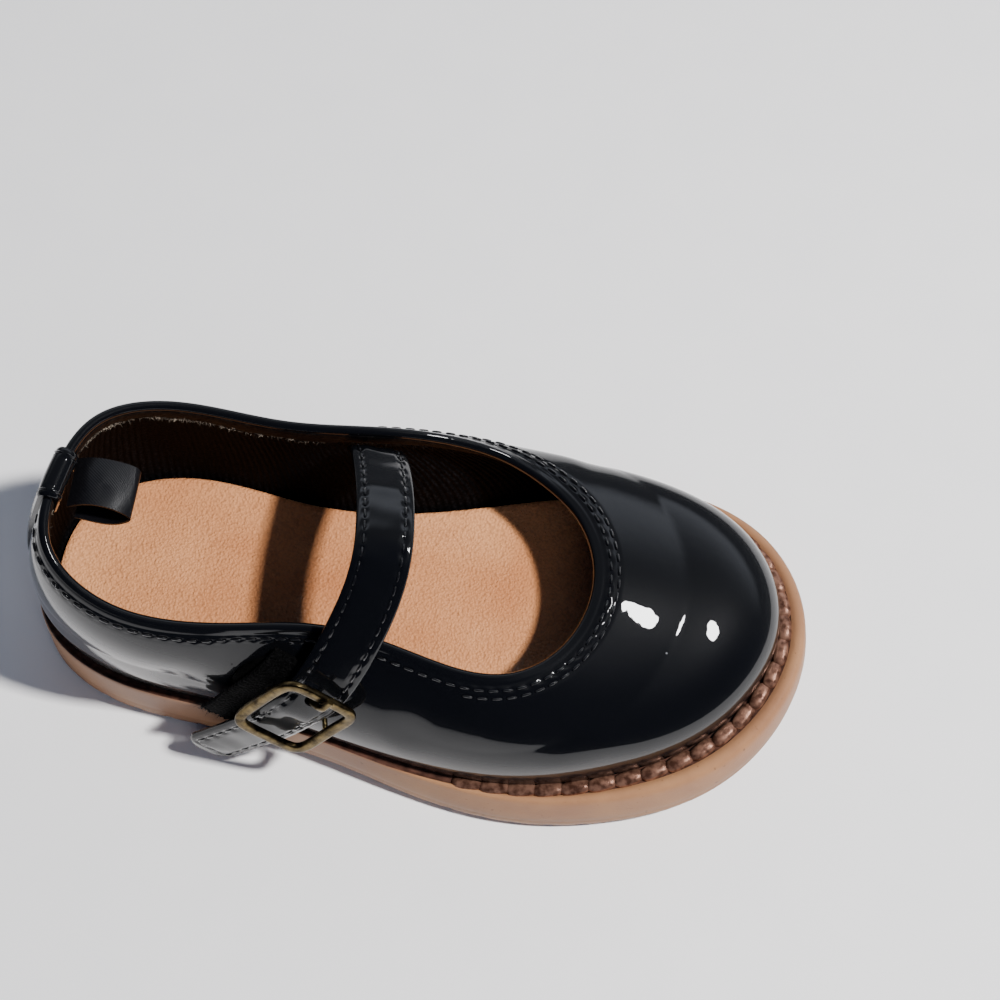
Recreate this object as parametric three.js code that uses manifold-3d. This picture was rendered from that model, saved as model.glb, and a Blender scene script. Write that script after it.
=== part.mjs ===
// Child's mary jane shoe, right foot: patent upper on a rubber unit sole, one instep strap.
// Millimetres, +X to the toe, +Y to the inner (medial) side, +Z up, standing on z = 0.
import * as THREE from "three";
import { mergeVertices } from "three/addons/utils/BufferGeometryUtils.js";
import Module from "manifold-3d";

const wasm = await Module();
wasm.setup();

// Driving sizes
const LENGTH = 155;
const BALL_WIDTH = 72;
const HEEL_TOP = 50;
const INSTEP_TOP = 48.6;
const UPPER_WALL = 2;
const GAP = 0.35;

// Sole and footbed
const SEAT_HEIGHT = 13.2;
const TREAD_HEIGHT = 10.7;
const TOE_HEIGHT = 15.4;
const TOE_SPRING = 5;
const ARCH_RISE = 1.2;
const INSOLE_THICKNESS = 2.4;
const LUG_PITCH = 6.7;
const LUG_GROOVE = 1.8;
const LUG_DEPTH = 1.5;
const TREAD_SPINE = 10;

// Strap and trimmings
const STRAP_WIDTH = 11;
const STRAP_THICKNESS = 1.8;
const STRIP_THICKNESS = 1;
const PATCH_THICKNESS = 0.7;
const TAPE_WIDTH = 9.5;
const TAPE_THICKNESS = 0.8;
const TAPE_ASIDE = 6.2;
const RIBBON_WIDTH = 10;
const RIBBON_THICKNESS = 0.9;
const BUCKLE_WIDTH = 17.8;
const BUCKLE_LENGTH = 20.2;
const BUCKLE_BAR = 2.1;
const BUCKLE_DEPTH = 1.5;
const PRONG_WIDTH = 1.3;

// How fine the surfaces are
const AROUND = 72;
const UP = 10;

// Sections round the shoe, from the back of the heel along the outer side, the toe and the inner side.
// edge_x, top_x in % of LENGTH, edge_y, top_y in % of BALL_WIDTH, top_z in % of HEEL_TOP: the sole's
// edge and the collar's edge. flare, ledge in mm: how far the sole's side bulges, and the width of
// the sole's ledge. foot_lean, top_lean in degrees and foot_pull, top_pull in mm: how the upper's rib
// leaves the sole and how it arrives at the collar (90 is upright, more leans outward, less inward).
const COLUMNS = [
  "edge_x", "edge_y", "flare", "ledge", "top_x", "top_y", "top_z",
  "foot_lean", "foot_pull", "top_lean", "top_pull",
];
const SECTIONS = {
  heel_back: [0, 0, 0, 1.8, 5.2, -1.4, 103, 102, 13, 72, 13],
  heel_outer: [2.9, -22.8, 0, 1.7, 5.8, -21.4, 98, 102, 12, 72, 12],
  seat_outer: [13.9, -36, 0, 1.5, 15, -33.3, 86, 101, 11, 72, 11],
  waist_outer: [28.6, -39.7, 0.1, 1.2, 28.3, -31, 76.4, 98, 11, 62, 9],
  strap_outer: [43.2, -45.8, 0.5, 1.2, 41.6, -27.4, 73.6, 96, 12, 52, 10],
  ball_outer: [60.5, -53.3, 1.2, 2.9, 55.6, -32, 67, 96, 13, 40, 10],
  fore_outer: [76.8, -50.6, 1.2, 5.1, 64.8, -28.4, 63.2, 96, 14, 28, 13],
  toe_outer: [91.9, -34.7, 1.2, 6.4, 70.4, -15.2, 62, 96, 14, 20, 17],
  toe_tip: [100, -0.8, 0.9, 5.8, 72.2, 2.2, 63, 96, 14, 18, 18],
  toe_inner: [94.9, 31.9, 0.7, 4.8, 70, 17.9, 62, 96, 14, 20, 17],
  fore_inner: [82.2, 46.4, 0.7, 4.4, 65.2, 28.9, 62, 96, 14, 30, 13],
  ball_inner: [67.5, 46.9, 0.6, 3.8, 56.4, 35.8, 69, 98, 12, 60, 10],
  waist_inner: [50.3, 36.9, 0.3, 3.4, 43.4, 32.9, 81, 99, 11, 76, 10],
  arch_inner: [34.3, 31.7, 0.1, 2.3, 30.6, 29.4, 85.2, 100, 11, 80, 10],
  seat_inner: [18.2, 33.8, 0, 1.5, 18.1, 27.8, 94, 101, 11, 78, 11],
  heel_inner: [4.8, 22.9, 0, 1.6, 8.7, 17.6, 102.6, 102, 12, 72, 12],
};
const SECTION_COUNT = Object.keys(SECTIONS).length;
const COLUMN_SCALE = {
  edge_x: LENGTH / 100,
  edge_y: BALL_WIDTH / 100,
  top_x: LENGTH / 100,
  top_y: BALL_WIDTH / 100,
  top_z: HEEL_TOP / 100,
};

// The strap's middle line in mm, from inside the inner quarter, over the instep, to the free tail.
// face: the way its outer side looks, in degrees from +Y up over +Z. rise is in % of INSTEP_TOP.
const STRAP_COLUMNS = ["x", "y", "rise", "face"];
const STRAP_ROUTE = {
  sewn_end: [62.6, 19.4, 57, 0],
  inner_wall: [64.4, 19.7, 70, 2],
  leaves_lining: [65.8, 18.6, 80.5, 26],
  inner_rise: [67.6, 13.6, 88.2, 52],
  inner_instep: [69.5, 5.5, 95.9, 74],
  crown: [70.7, -2.5, 99.8, 92],
  outer_instep: [70.9, -9, 98.8, 108],
  outer_fall: [69.8, -15.2, 92.8, 124],
  over_collar: [67.4, -21.2, 83.6, 136],
  outer_wall: [64.4, -26, 72.2, 148],
  above_buckle: [60.9, -29.7, 61.5, 162],
  in_buckle: [57.1, -31.5, 52, 174],
  below_buckle: [52.6, -32.3, 39.6, 177],
  tail: [46.8, -32.9, 26.3, 178],
  tail_tip: [40.6, -33.4, 13.2, 178],
};

// The loop patch on the outer quarter, as far as the hook tape leaves it bare: middle line and half width in the upper's own
// coordinates, around in sections and up from 0 at the sole to 1 at the collar.
const PATCH_COLUMNS = ["around", "up", "half"];
const LOOP_PATCH = {
  round_end: [3.02, 0.52, 0.03],
  shoulder: [3.09, 0.57, 0.09],
  middle: [3.22, 0.65, 0.1],
  beside_tape: [3.38, 0.74, 0.07],
  far_end: [3.44, 0.79, 0.03],
};

// ---------------------------------------------------------------------------------------------
// Curves

// A smooth curve through evenly spaced values: cubic B-spline controls nudged until it passes
// through every value. Closed curves wrap round, open ones hold their ends.
function smoothCurve(values, closed) {
  const count = values.length;
  const pick = (list, i) => {
    if (closed) return list[((i % count) + count) % count];
    if (i < 0) return 2 * list[0] - list[-i];
    if (i >= count) return 2 * list[count - 1] - list[2 * count - 2 - i];
    return list[i];
  };
  let control = [...values];
  for (let pass = 0; pass < 40; pass += 1) {
    control = control.map((c, i) => {
      const here = (pick(control, i - 1) + 4 * c + pick(control, i + 1)) / 6;
      return c + values[i] - here;
    });
  }
  return (u) => {
    const cell = closed ? Math.floor(u) : Math.min(Math.floor(u), count - 2);
    const t = u - cell;
    const before = (1 - t) ** 3 * pick(control, cell - 1);
    const from = (3 * t ** 3 - 6 * t ** 2 + 4) * pick(control, cell);
    const to = (-3 * t ** 3 + 3 * t ** 2 + 3 * t + 1) * pick(control, cell + 1);
    const after = t ** 3 * pick(control, cell + 2);
    return (before + from + to + after) / 6;
  };
}

// One smooth curve for each named column of a table of rows
function tableCurves(table, columns, closed, scale = {}) {
  const rows = Object.values(table);
  const curves = {};
  columns.forEach((name, index) => {
    const values = rows.map((row) => row[index] * (scale[name] ?? 1));
    curves[name] = smoothCurve(values, closed);
  });
  return curves;
}

const shoe = tableCurves(SECTIONS, COLUMNS, true, COLUMN_SCALE);
const degrees = (angle) => THREE.MathUtils.degToRad(angle);

// Inward normal, seen from above, of a curve that runs anticlockwise round the shoe
function inward(curve, u) {
  const step = 1e-3;
  const ahead = curve(u + step);
  const behind = curve(u - step);
  return new THREE.Vector3(behind.y - ahead.y, ahead.x - behind.x, 0).normalize();
}

// ---------------------------------------------------------------------------------------------
// The sole's and the upper's own functions

const edge = (u) => new THREE.Vector3(shoe.edge_x(u), shoe.edge_y(u), 0);
const collar = (u) => new THREE.Vector3(shoe.top_x(u), shoe.top_y(u), shoe.top_z(u));

// Height of the feather line, where upper and insole stand on the sole: heel, tread, raised toe
function featherHeight(x) {
  const seat = x < 90 ? (SEAT_HEIGHT - TREAD_HEIGHT) * (0.5 + 0.5 * Math.cos((Math.PI * x) / 90)) : 0;
  const toe = x > 95 ? (TOE_HEIGHT - TREAD_HEIGHT) * ((x - 95) / 60) ** 2 : 0;
  return TREAD_HEIGHT + seat + toe;
}

// Height of the tread: flat heel, slight arch at the waist, flat ball, toe spring
function treadHeight(x) {
  const arch = x > 48 && x < 84 ? ARCH_RISE * Math.sin((Math.PI * (x - 48)) / 36) ** 2 : 0;
  const spring = x > 112 ? TOE_SPRING * ((x - 112) / 43.5) ** 2 : 0;
  return arch + spring;
}

function feather(u) {
  const point = edge(u).addScaledVector(inward(edge, u), shoe.ledge(u));
  point.z = featherHeight(point.x);
  return point;
}

// The upper's outer face: a rib from the feather line (v = 0) to the collar (v = 1) at every u
function upperFace(u, v) {
  const foot = feather(u);
  const top = collar(u);
  const footLean = degrees(shoe.foot_lean(u));
  const topLean = degrees(shoe.top_lean(u));
  const footPull = inward(feather, u).multiplyScalar(Math.cos(footLean)).setZ(Math.sin(footLean));
  const topPull = inward(collar, u).multiplyScalar(Math.cos(topLean)).setZ(Math.sin(topLean));
  const low = foot.clone().addScaledVector(footPull, shoe.foot_pull(u));
  const high = top.clone().addScaledVector(topPull, -shoe.top_pull(u));
  return new THREE.Vector3()
    .addScaledVector(foot, (1 - v) ** 3)
    .addScaledVector(low, 3 * (1 - v) ** 2 * v)
    .addScaledVector(high, 3 * (1 - v) * v ** 2)
    .addScaledVector(top, v ** 3);
}

// A point at a distance outside (+) or inside (-) the upper's outer face
function offUpper(u, v, distance) {
  const step = 1e-3;
  const along = upperFace(u + step, v).sub(upperFace(u - step, v));
  const up = upperFace(u, v + step).sub(upperFace(u, v - step));
  const outward = along.cross(up).normalize();
  return upperFace(u, v).addScaledVector(outward, distance);
}

// ---------------------------------------------------------------------------------------------
// Closed bodies from rings of points

function body(points, triangles) {
  const geometry = new THREE.BufferGeometry();
  const flat = points.flatMap((p) => [p.x, p.y, p.z]);
  geometry.setAttribute("position", new THREE.Float32BufferAttribute(flat, 3));
  geometry.setIndex(triangles);
  return geometry;
}

// A cap over a ring of points: a strip from side to side, starting at the ring's first point
function stripCap(size) {
  const triangles = [[0, 1, size - 1]];
  for (let k = 1; k < size / 2 - 1; k += 1) {
    triangles.push([k, k + 1, size - k - 1], [k, size - k - 1, size - k]);
  }
  triangles.push([size / 2 - 1, size / 2, size / 2 + 1]);
  return triangles;
}

// Joins rings with the same, even number of points. A closed row of rings is a loop, and an open
// one is capped at both ends.
function loft(rings, closed = false) {
  const size = rings[0].length;
  const triangles = [];
  const last = closed ? rings.length : rings.length - 1;
  for (let i = 0; i < last; i += 1) {
    const next = (i + 1) % rings.length;
    for (let k = 0; k < size; k += 1) {
      const a = i * size + k;
      const b = i * size + ((k + 1) % size);
      const c = next * size + ((k + 1) % size);
      const d = next * size + k;
      triangles.push(a, b, c, a, c, d);
    }
  }
  if (!closed) {
    const end = (rings.length - 1) * size;
    stripCap(size).forEach(([a, b, c]) => triangles.push(a, c, b));
    stripCap(size).forEach(([a, b, c]) => triangles.push(end + a, end + b, end + c));
  }
  return outwards(body(rings.flat(), triangles));
}

// A thin slab between two grids of the same size, closed along all four sides
function slab(outer, inner) {
  const rings = outer.map((row, i) => [...row, ...[...inner[i]].reverse()]);
  const size = rings[0].length;
  const half = size / 2;
  const points = rings.flat();
  const triangles = [];
  for (let i = 0; i < rings.length - 1; i += 1) {
    for (let k = 0; k < size; k += 1) {
      const a = i * size + k;
      const b = i * size + ((k + 1) % size);
      triangles.push(a, b, b + size, a, b + size, a + size);
    }
  }
  const end = (rings.length - 1) * size;
  for (let k = 0; k < half - 1; k += 1) {
    const far = size - 1 - k;
    triangles.push(k, far, far - 1, k, far - 1, k + 1);
    triangles.push(end + k, end + far - 1, end + far, end + k, end + k + 1, end + far - 1);
  }
  return outwards(body(points, triangles));
}

// Turns a body whose faces point in inside out
function outwards(geometry) {
  const position = geometry.getAttribute("position");
  const index = [...geometry.getIndex().array];
  const corner = (k) => new THREE.Vector3().fromBufferAttribute(position, index[k]);
  let volume = 0;
  for (let k = 0; k < index.length; k += 3) {
    volume += corner(k).dot(corner(k + 1).cross(corner(k + 2)));
  }
  if (volume < 0) {
    for (let k = 0; k < index.length; k += 3) {
      [index[k + 1], index[k + 2]] = [index[k + 2], index[k + 1]];
    }
  }
  geometry.setIndex(index);
  return geometry;
}

// Between three.js geometry and a solid that can be joined and cut
function solid(geometry) {
  const plain = geometry.clone();
  plain.deleteAttribute("normal");
  plain.deleteAttribute("uv");
  const merged = mergeVertices(plain, 1e-4);
  const vertProperties = new Float32Array(merged.getAttribute("position").array);
  const triVerts = new Uint32Array(merged.getIndex().array);
  return new wasm.Manifold(new wasm.Mesh({ numProp: 3, vertProperties, triVerts }));
}

function fromSolid(manifold) {
  const mesh = manifold.getMesh();
  const geometry = new THREE.BufferGeometry();
  geometry.setAttribute("position", new THREE.Float32BufferAttribute(mesh.vertProperties, 3));
  geometry.setIndex([...mesh.triVerts]);
  return geometry;
}

const range = (count) => Array.from({ length: count }, (_, i) => i);
const roundTheShoe = range(AROUND).map((i) => (i / AROUND) * SECTION_COUNT);

// The eight corners of a flat bevelled section: width across, thickness along the face
function bandSection(centre, across, face, width, thickness) {
  const bevel = thickness * 0.3;
  const w = width / 2;
  const t = thickness / 2;
  const corners = [
    [w, -t + bevel], [w, t - bevel], [w - bevel, t], [-w + bevel, t],
    [-w, t - bevel], [-w, -t + bevel], [-w + bevel, -t], [w - bevel, -t],
  ];
  return corners.map(([a, f]) => centre.clone().addScaledVector(across, a).addScaledVector(face, f));
}

// ---------------------------------------------------------------------------------------------
// The pieces

// Rings shrink towards the sole's middle line, so the footbed and tread are smooth to the centre
const BED_SHARES = [0.2, 0.4, 0.6, 0.8];
function towardsMiddle(point, share) {
  const middle = new THREE.Vector3(THREE.MathUtils.clamp(point.x, 28, 126), -2, point.z);
  return point.clone().lerp(middle, share);
}

function outsole() {
  const ring = (place) => roundTheShoe.map(place);
  // One point of the sole's side: share of the height, part of the bulge, plain outset
  const side = (share, bulge, outset) => ring((u) => {
    const point = edge(u).addScaledVector(inward(edge, u), -bulge * shoe.flare(u) - outset);
    const low = treadHeight(point.x);
    point.z = low + (featherHeight(point.x) - GAP - low) * share;
    return point;
  });
  const ledge = (inset, drop) => ring((u) => {
    const point = edge(u).addScaledVector(inward(edge, u), inset);
    point.z = featherHeight(point.x) - GAP - drop;
    return point;
  });
  const bed = (share, height) => ring((u) => {
    const point = towardsMiddle(feather(u), share);
    point.z = height(point.x);
    return point;
  });
  const footbed = (x) => featherHeight(x) - GAP;
  const whole = solid(loft([
    bed(0.7, treadHeight),
    bed(0.35, treadHeight),
    bed(0.05, treadHeight),
    side(0, 0.4, -0.6),
    side(0.08, 0.8, -0.1),
    side(0.28, 1, 0),
    side(0.6, 0.75, 0),
    side(0.84, 0.15, 0),
    ledge(0.45, 0.55),
    ledge(1.1, 0.2),
    bed(0.02, footbed),
    ...BED_SHARES.map((share) => bed(share, footbed)),
  ]));
  // Lug grooves run in from both edges under the heel and the forefoot
  const grooves = [...range(5).map((i) => 9.5 + i * LUG_PITCH), ...range(9).map((i) => 88 + i * LUG_PITCH)];
  return grooves.reduce((cut, x) => [-1, 1].reduce((part, sideSign) => {
    const height = treadHeight(x) + LUG_DEPTH + 1;
    const groove = new THREE.BoxGeometry(LUG_GROOVE, BALL_WIDTH, height);
    groove.translate(x, sideSign * (TREAD_SPINE + BALL_WIDTH / 2) - 2, height / 2 - 1);
    return part.subtract(solid(groove));
  }, cut), whole);
}

function insole() {
  const ring = (inset, share, lift) => roundTheShoe.map((u) => {
    const outline = feather(u).addScaledVector(inward(feather, u), UPPER_WALL + GAP + inset);
    const point = towardsMiddle(outline, share);
    point.z = featherHeight(point.x) + lift;
    return point;
  });
  return loft([
    ...[...BED_SHARES].reverse().map((share) => ring(0.2, share, 0)),
    ring(0.2, 0, 0),
    ring(0.2, 0, INSOLE_THICKNESS * 0.7),
    ring(0.8, 0, INSOLE_THICKNESS),
    ...BED_SHARES.map((share) => ring(0.2, share, INSOLE_THICKNESS)),
  ]);
}

// One hollow wall: up the outer face, over the collar's edge, down the inner face
function upper() {
  const ribs = roundTheShoe.map((u) => {
    const outer = range(UP + 1).map((k) => upperFace(u, k / UP));
    const inner = range(UP + 1).map((k) => offUpper(u, 1 - k / UP, -UPPER_WALL));
    return [...outer, ...inner];
  });
  return loft(ribs, true);
}

// A slab lying on the upper's outer face
function overlay(around, up, clearance, thickness) {
  const grid = (distance) => around.map((u, i) => up(i).map((v) => offUpper(u, v, distance)));
  return slab(grid(clearance + thickness), grid(clearance));
}

// Covers the seam at the back of the heel, from the sole to the collar
function heelStrip() {
  const halfWidth = 0.34;
  const columns = range(7).map((i) => -halfWidth + (2 * halfWidth * i) / 6);
  const heights = range(11).map((k) => 0.03 + (0.95 * k) / 10);
  return overlay(columns, () => heights, GAP, STRIP_THICKNESS);
}

function loopPatch() {
  const steps = 14;
  const curves = tableCurves(LOOP_PATCH, PATCH_COLUMNS, false);
  const rows = Object.keys(LOOP_PATCH).length - 1;
  const at = range(steps + 1).map((i) => (i / steps) * rows);
  const columns = at.map((s) => curves.around(s));
  const heights = (i) => range(7).map((k) => {
    const across = (k - 3) / 3;
    return curves.up(at[i]) + across * curves.half(at[i]);
  });
  return overlay(columns, heights, GAP, PATCH_THICKNESS);
}

// The strap's middle point, its way across and its outer face at a place along the route
const strapCurves = tableCurves(STRAP_ROUTE, STRAP_COLUMNS, false, { rise: INSTEP_TOP / 100 });
const strapEnd = Object.keys(STRAP_ROUTE).length - 1;
function strapPoint(s) {
  return new THREE.Vector3(strapCurves.x(s), strapCurves.y(s), strapCurves.rise(s));
}
function strapFrame(s) {
  const step = 1e-3;
  const to = Math.min(s + step, strapEnd);
  const along = strapPoint(to).sub(strapPoint(to - 2 * step)).normalize();
  const angle = degrees(strapCurves.face(s));
  const face = new THREE.Vector3(0, Math.cos(angle), Math.sin(angle));
  face.addScaledVector(along, -face.dot(along)).normalize();
  return { along, face, across: new THREE.Vector3().crossVectors(face, along) };
}

// The hook tape lies under the strap's heel-side edge and the buckle's centre bar, from below the
// collar to its frayed end
const TAPE_FROM = strapEnd - 4.5;
const TAPE_TO = strapEnd - 1.35;
function hookTape() {
  const steps = 12;
  return loft(range(steps + 1).map((i) => {
    const s = TAPE_FROM + (i / steps) * (TAPE_TO - TAPE_FROM);
    const { across, face } = strapFrame(s);
    const centre = strapPoint(s).addScaledVector(across, -TAPE_ASIDE)
      .addScaledVector(face, CENTRE_BAR_OUT - CENTRE_BAR / 2 - GAP - TAPE_THICKNESS / 2);
    return bandSection(centre, across, face, TAPE_WIDTH, TAPE_THICKNESS);
  }));
}

// The buckle's own frame: centred where the strap runs through it
const BUCKLE_PLACE = strapEnd - 3.15;
const buckleMiddle = strapPoint(BUCKLE_PLACE);
const buckleFrame = strapFrame(BUCKLE_PLACE);
function inBuckle(across, along, out) {
  return buckleMiddle.clone()
    .addScaledVector(buckleFrame.across, across)
    .addScaledVector(buckleFrame.along, along)
    .addScaledVector(buckleFrame.face, out);
}

// Heights above the strap's middle line at the buckle: the frame's ends lie over the strap, and
// the hidden centre bar lies under it
const FRAME_END_OUT = STRAP_THICKNESS / 2 + GAP + BUCKLE_DEPTH / 2;
const FRAME_BOW = 0.4;
const CENTRE_BAR = 0.9;
const CENTRE_BAR_OUT = -(STRAP_THICKNESS / 2 + GAP + CENTRE_BAR / 2);

// The strap runs 3 mm past its last row with a rounded end. A hole lets the prong through.
const PRONG_HOLE = 3.8;
const PRONG_HOLE_ALONG = -5.1;
function strap() {
  const steps = 38;
  const sections = range(steps + 1).map((i) => {
    const s = (i / steps) * strapEnd;
    const { across, face } = strapFrame(s);
    return bandSection(strapPoint(s), across, face, STRAP_WIDTH, STRAP_THICKNESS);
  });
  const end = strapFrame(strapEnd);
  [[1.2, 0.94], [2.1, 0.78], [2.5, 0.55]].forEach(([beyond, share]) => {
    const centre = strapPoint(strapEnd).addScaledVector(end.along, beyond);
    sections.push(bandSection(centre, end.across, end.face, STRAP_WIDTH * share, STRAP_THICKNESS));
  });
  const hole = new THREE.CylinderGeometry(PRONG_HOLE / 2, PRONG_HOLE / 2, 6, 12);
  hole.applyQuaternion(new THREE.Quaternion().setFromUnitVectors(
    new THREE.Vector3(0, 1, 0),
    buckleFrame.face,
  ));
  const place = inBuckle(0, PRONG_HOLE_ALONG, 0);
  hole.translate(place.x, place.y, place.z);
  return solid(loft(sections)).subtract(solid(hole));
}

function buckle() {
  const power = 2 / 6;
  const across = BUCKLE_WIDTH / 2 - BUCKLE_BAR / 2;
  const along = BUCKLE_LENGTH / 2 - BUCKLE_BAR / 2;
  const onFrame = (turn) => {
    const c = Math.cos(turn);
    const s = Math.sin(turn);
    const a = across * Math.sign(c) * Math.abs(c) ** power;
    const l = along * Math.sign(s) * Math.abs(s) ** power;
    return inBuckle(a, l, FRAME_END_OUT - FRAME_BOW * (1 - (l / along) ** 2));
  };
  const turns = range(48).map((i) => ((i + 0.5) / 48) * 2 * Math.PI);
  const frame = loft(turns.map((turn) => {
    const centre = onFrame(turn);
    const ahead = onFrame(turn + 1e-3).sub(onFrame(turn - 1e-3)).normalize();
    const side = new THREE.Vector3().crossVectors(buckleFrame.face, ahead).normalize();
    return bandSection(centre, side, buckleFrame.face, BUCKLE_BAR, BUCKLE_DEPTH);
  }), true);
  // Centre bar: dips from both rails to pass under the strap
  const railOut = FRAME_END_OUT - FRAME_BOW;
  const dip = [[-1, railOut], [-0.9, railOut - 0.6], [-0.84, CENTRE_BAR_OUT + 0.3], [-0.74, CENTRE_BAR_OUT],
    [0.74, CENTRE_BAR_OUT], [0.84, CENTRE_BAR_OUT + 0.3], [0.9, railOut - 0.6], [1, railOut]];
  const bar = loft(dip.map(([share, out]) => {
    const centre = inBuckle(share * across, 0, out);
    const slope = Math.abs(share) > 0.8 ? 0.6 * Math.sign(share) : 0;
    const face = buckleFrame.face.clone().addScaledVector(buckleFrame.across, -slope).normalize();
    return bandSection(centre, buckleFrame.along, face, CENTRE_BAR * 1.3, CENTRE_BAR);
  }));
  return solid(frame).add(solid(bar));
}

// Hinged by its eye on the centre bar; here it starts beside the bar, comes up through the
// strap's hole and rests on the frame's upper end
function prong() {
  const over = FRAME_END_OUT + BUCKLE_DEPTH / 2 + GAP + PRONG_WIDTH / 2;
  const under = -(STRAP_THICKNESS / 2 + GAP + PRONG_WIDTH / 2);
  const route = [[-1.4, under], [-3.8, under + 0.1], [-4.8, -0.8], [-5.2, 0.5], [-6.2, 1.8],
    [-8.2, over - 0.25], [-9.6, over], [-10.8, over - 0.1], [-11.3, over - 0.15]];
  const curve = new THREE.CatmullRomCurve3(route.map(([along, out]) => inBuckle(0, along, out)));
  const steps = 18;
  return loft(range(steps + 1).map((i) => {
    const t = i / steps;
    const along = curve.getTangent(t);
    const face = new THREE.Vector3().crossVectors(along, buckleFrame.across).normalize();
    const width = i === steps ? PRONG_WIDTH * 0.6 : PRONG_WIDTH;
    return bandSection(curve.getPoint(t), buckleFrame.across, face, width, width);
  }));
}

// A folded ribbon sewn inside the heel: out from the wall, round a fold and back
function pullLoop() {
  const root = shoe.top_x(0) + UPPER_WALL + 1;
  const route = [[0, 46.9], [4, 47.9], [8.5, 47.3], [11.2, 45.6], [11.2, 43.8], [8.5, 42.4], [4.5, 42.3], [0.8, 42.2]];
  const curve = new THREE.CatmullRomCurve3(route.map(([out, z]) => new THREE.Vector3(root + out, 0, z)));
  const across = new THREE.Vector3(0, 1, 0);
  const steps = 26;
  return loft(range(steps + 1).map((i) => {
    const along = curve.getTangent(i / steps);
    const face = new THREE.Vector3().crossVectors(across, along).normalize();
    return bandSection(curve.getPoint(i / steps), across, face, RIBBON_WIDTH, RIBBON_THICKNESS);
  }));
}

// ---------------------------------------------------------------------------------------------
// Assembly

const patent = { color: 0x08090c, roughness: 0.08, metalness: 0 };
const rubber = { color: 0xae8360, roughness: 0.6, metalness: 0 };
const tanLeather = { color: 0xc48f68, roughness: 0.55, metalness: 0 };
const tape = { color: 0x0c0c0d, roughness: 0.95, metalness: 0 };
const ribbon = { color: 0x101012, roughness: 0.5, metalness: 0 };
const brass = { color: 0x8f7a4e, roughness: 0.35, metalness: 1 };

const group = new THREE.Group();
function place(name, shape, finish) {
  const geometry = shape.isBufferGeometry ? shape : fromSolid(shape);
  const mesh = new THREE.Mesh(geometry, new THREE.MeshStandardMaterial(finish));
  mesh.name = name;
  group.add(mesh);
}
place("outsole", outsole(), rubber);
place("insole", insole(), tanLeather);
place("upper", upper(), patent);
place("heel_strip", heelStrip(), patent);
place("strap", strap(), patent);
place("loop_patch", loopPatch(), tape);
place("hook_tape", hookTape(), tape);
place("buckle_frame", buckle(), brass);
place("buckle_prong", prong(), brass);
place("pull_loop", pullLoop(), ribbon);

// The origin is the middle of the whole shoe's box, on the floor
const box = new THREE.Box3().setFromObject(group);
const middle = box.getCenter(new THREE.Vector3());
group.position.set(-middle.x, -middle.y, -box.min.z);

export default group;
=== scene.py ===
"""A child's right mary jane shoe in black patent leather on a tan rubber unit sole.

The file follows the shoe as it is put together: light and camera, the last, the sole, the insole,
the upper with its lining, the heel strip, the pull loop, the fastening tapes, the strap, the buckle
and the stitching.
"""

import math

import bpy
import numpy as np
from mathutils import Matrix, Vector


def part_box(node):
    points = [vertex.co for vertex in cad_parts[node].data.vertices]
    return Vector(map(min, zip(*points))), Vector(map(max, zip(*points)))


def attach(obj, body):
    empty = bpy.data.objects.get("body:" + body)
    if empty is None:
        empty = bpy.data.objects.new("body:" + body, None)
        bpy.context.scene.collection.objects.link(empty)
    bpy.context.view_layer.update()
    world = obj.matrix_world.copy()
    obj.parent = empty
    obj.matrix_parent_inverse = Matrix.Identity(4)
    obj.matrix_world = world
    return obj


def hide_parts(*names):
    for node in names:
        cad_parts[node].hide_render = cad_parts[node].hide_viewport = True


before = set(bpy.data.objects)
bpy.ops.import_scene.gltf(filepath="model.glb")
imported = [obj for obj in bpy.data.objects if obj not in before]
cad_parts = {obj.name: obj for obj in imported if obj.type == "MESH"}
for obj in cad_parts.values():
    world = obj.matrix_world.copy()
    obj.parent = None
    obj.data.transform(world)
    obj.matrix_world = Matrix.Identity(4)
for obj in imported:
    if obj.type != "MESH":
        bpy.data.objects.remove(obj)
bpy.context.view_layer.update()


# ------------------------------------------------------------------------------------------------
# The studio: a pale floor, one small high lamp towards the toe that throws the strap's shadow on the
# insole, one seen only as glints in the patent, a weak fill and a dim sky, lighter behind the shoe.

def srgb(code, alpha=1.0):
    """A six-digit sRGB colour turned to linear."""
    parts = [int(code[i:i + 2], 16) / 255 for i in (1, 3, 5)]
    linear = [c / 12.92 if c <= 0.04045 else ((c + 0.055) / 1.055) ** 2.4 for c in parts]
    return (*linear, alpha)


def add(tree, kind, settings=None, links=None):
    """Adds a node, sets its options, colour stops and unlinked inputs, and links the others."""
    node = tree.nodes.new(kind)
    options = dict(settings or {})
    for index, (position, code) in enumerate(options.pop("stops", ())):
        node.color_ramp.elements[index].position = position
        node.color_ramp.elements[index].color = srgb(code)
    for name, value in options.items():
        if isinstance(name, str) and hasattr(node, name):
            setattr(node, name, value)
    for name, value in options.items():
        if not (isinstance(name, str) and hasattr(node, name)):
            node.inputs[name].default_value = value
    for name, source in (links or {}).items():
        socket = source.outputs[0] if isinstance(source, bpy.types.Node) else source
        tree.links.new(socket, node.inputs[name])
    return node


def new_material(name):
    """An empty material with its tree and its place on the shoe, ready for its own nodes."""
    material = bpy.data.materials.new(name)
    material.use_nodes = True
    tree = material.node_tree
    tree.nodes.clear()
    return material, tree, add(tree, "ShaderNodeTexCoord").outputs["Object"]


def shade(tree, settings, links):
    """Ends a material: even values on the shader's own sockets, the varied ones linked."""
    shader = add(tree, "ShaderNodeBsdfPrincipled", settings, links)
    add(tree, "ShaderNodeOutputMaterial", None, {"Surface": shader})


def per_metre(grain):
    """The scale of a pattern whose grains are so many mm wide."""
    return 1000 / grain


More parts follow.
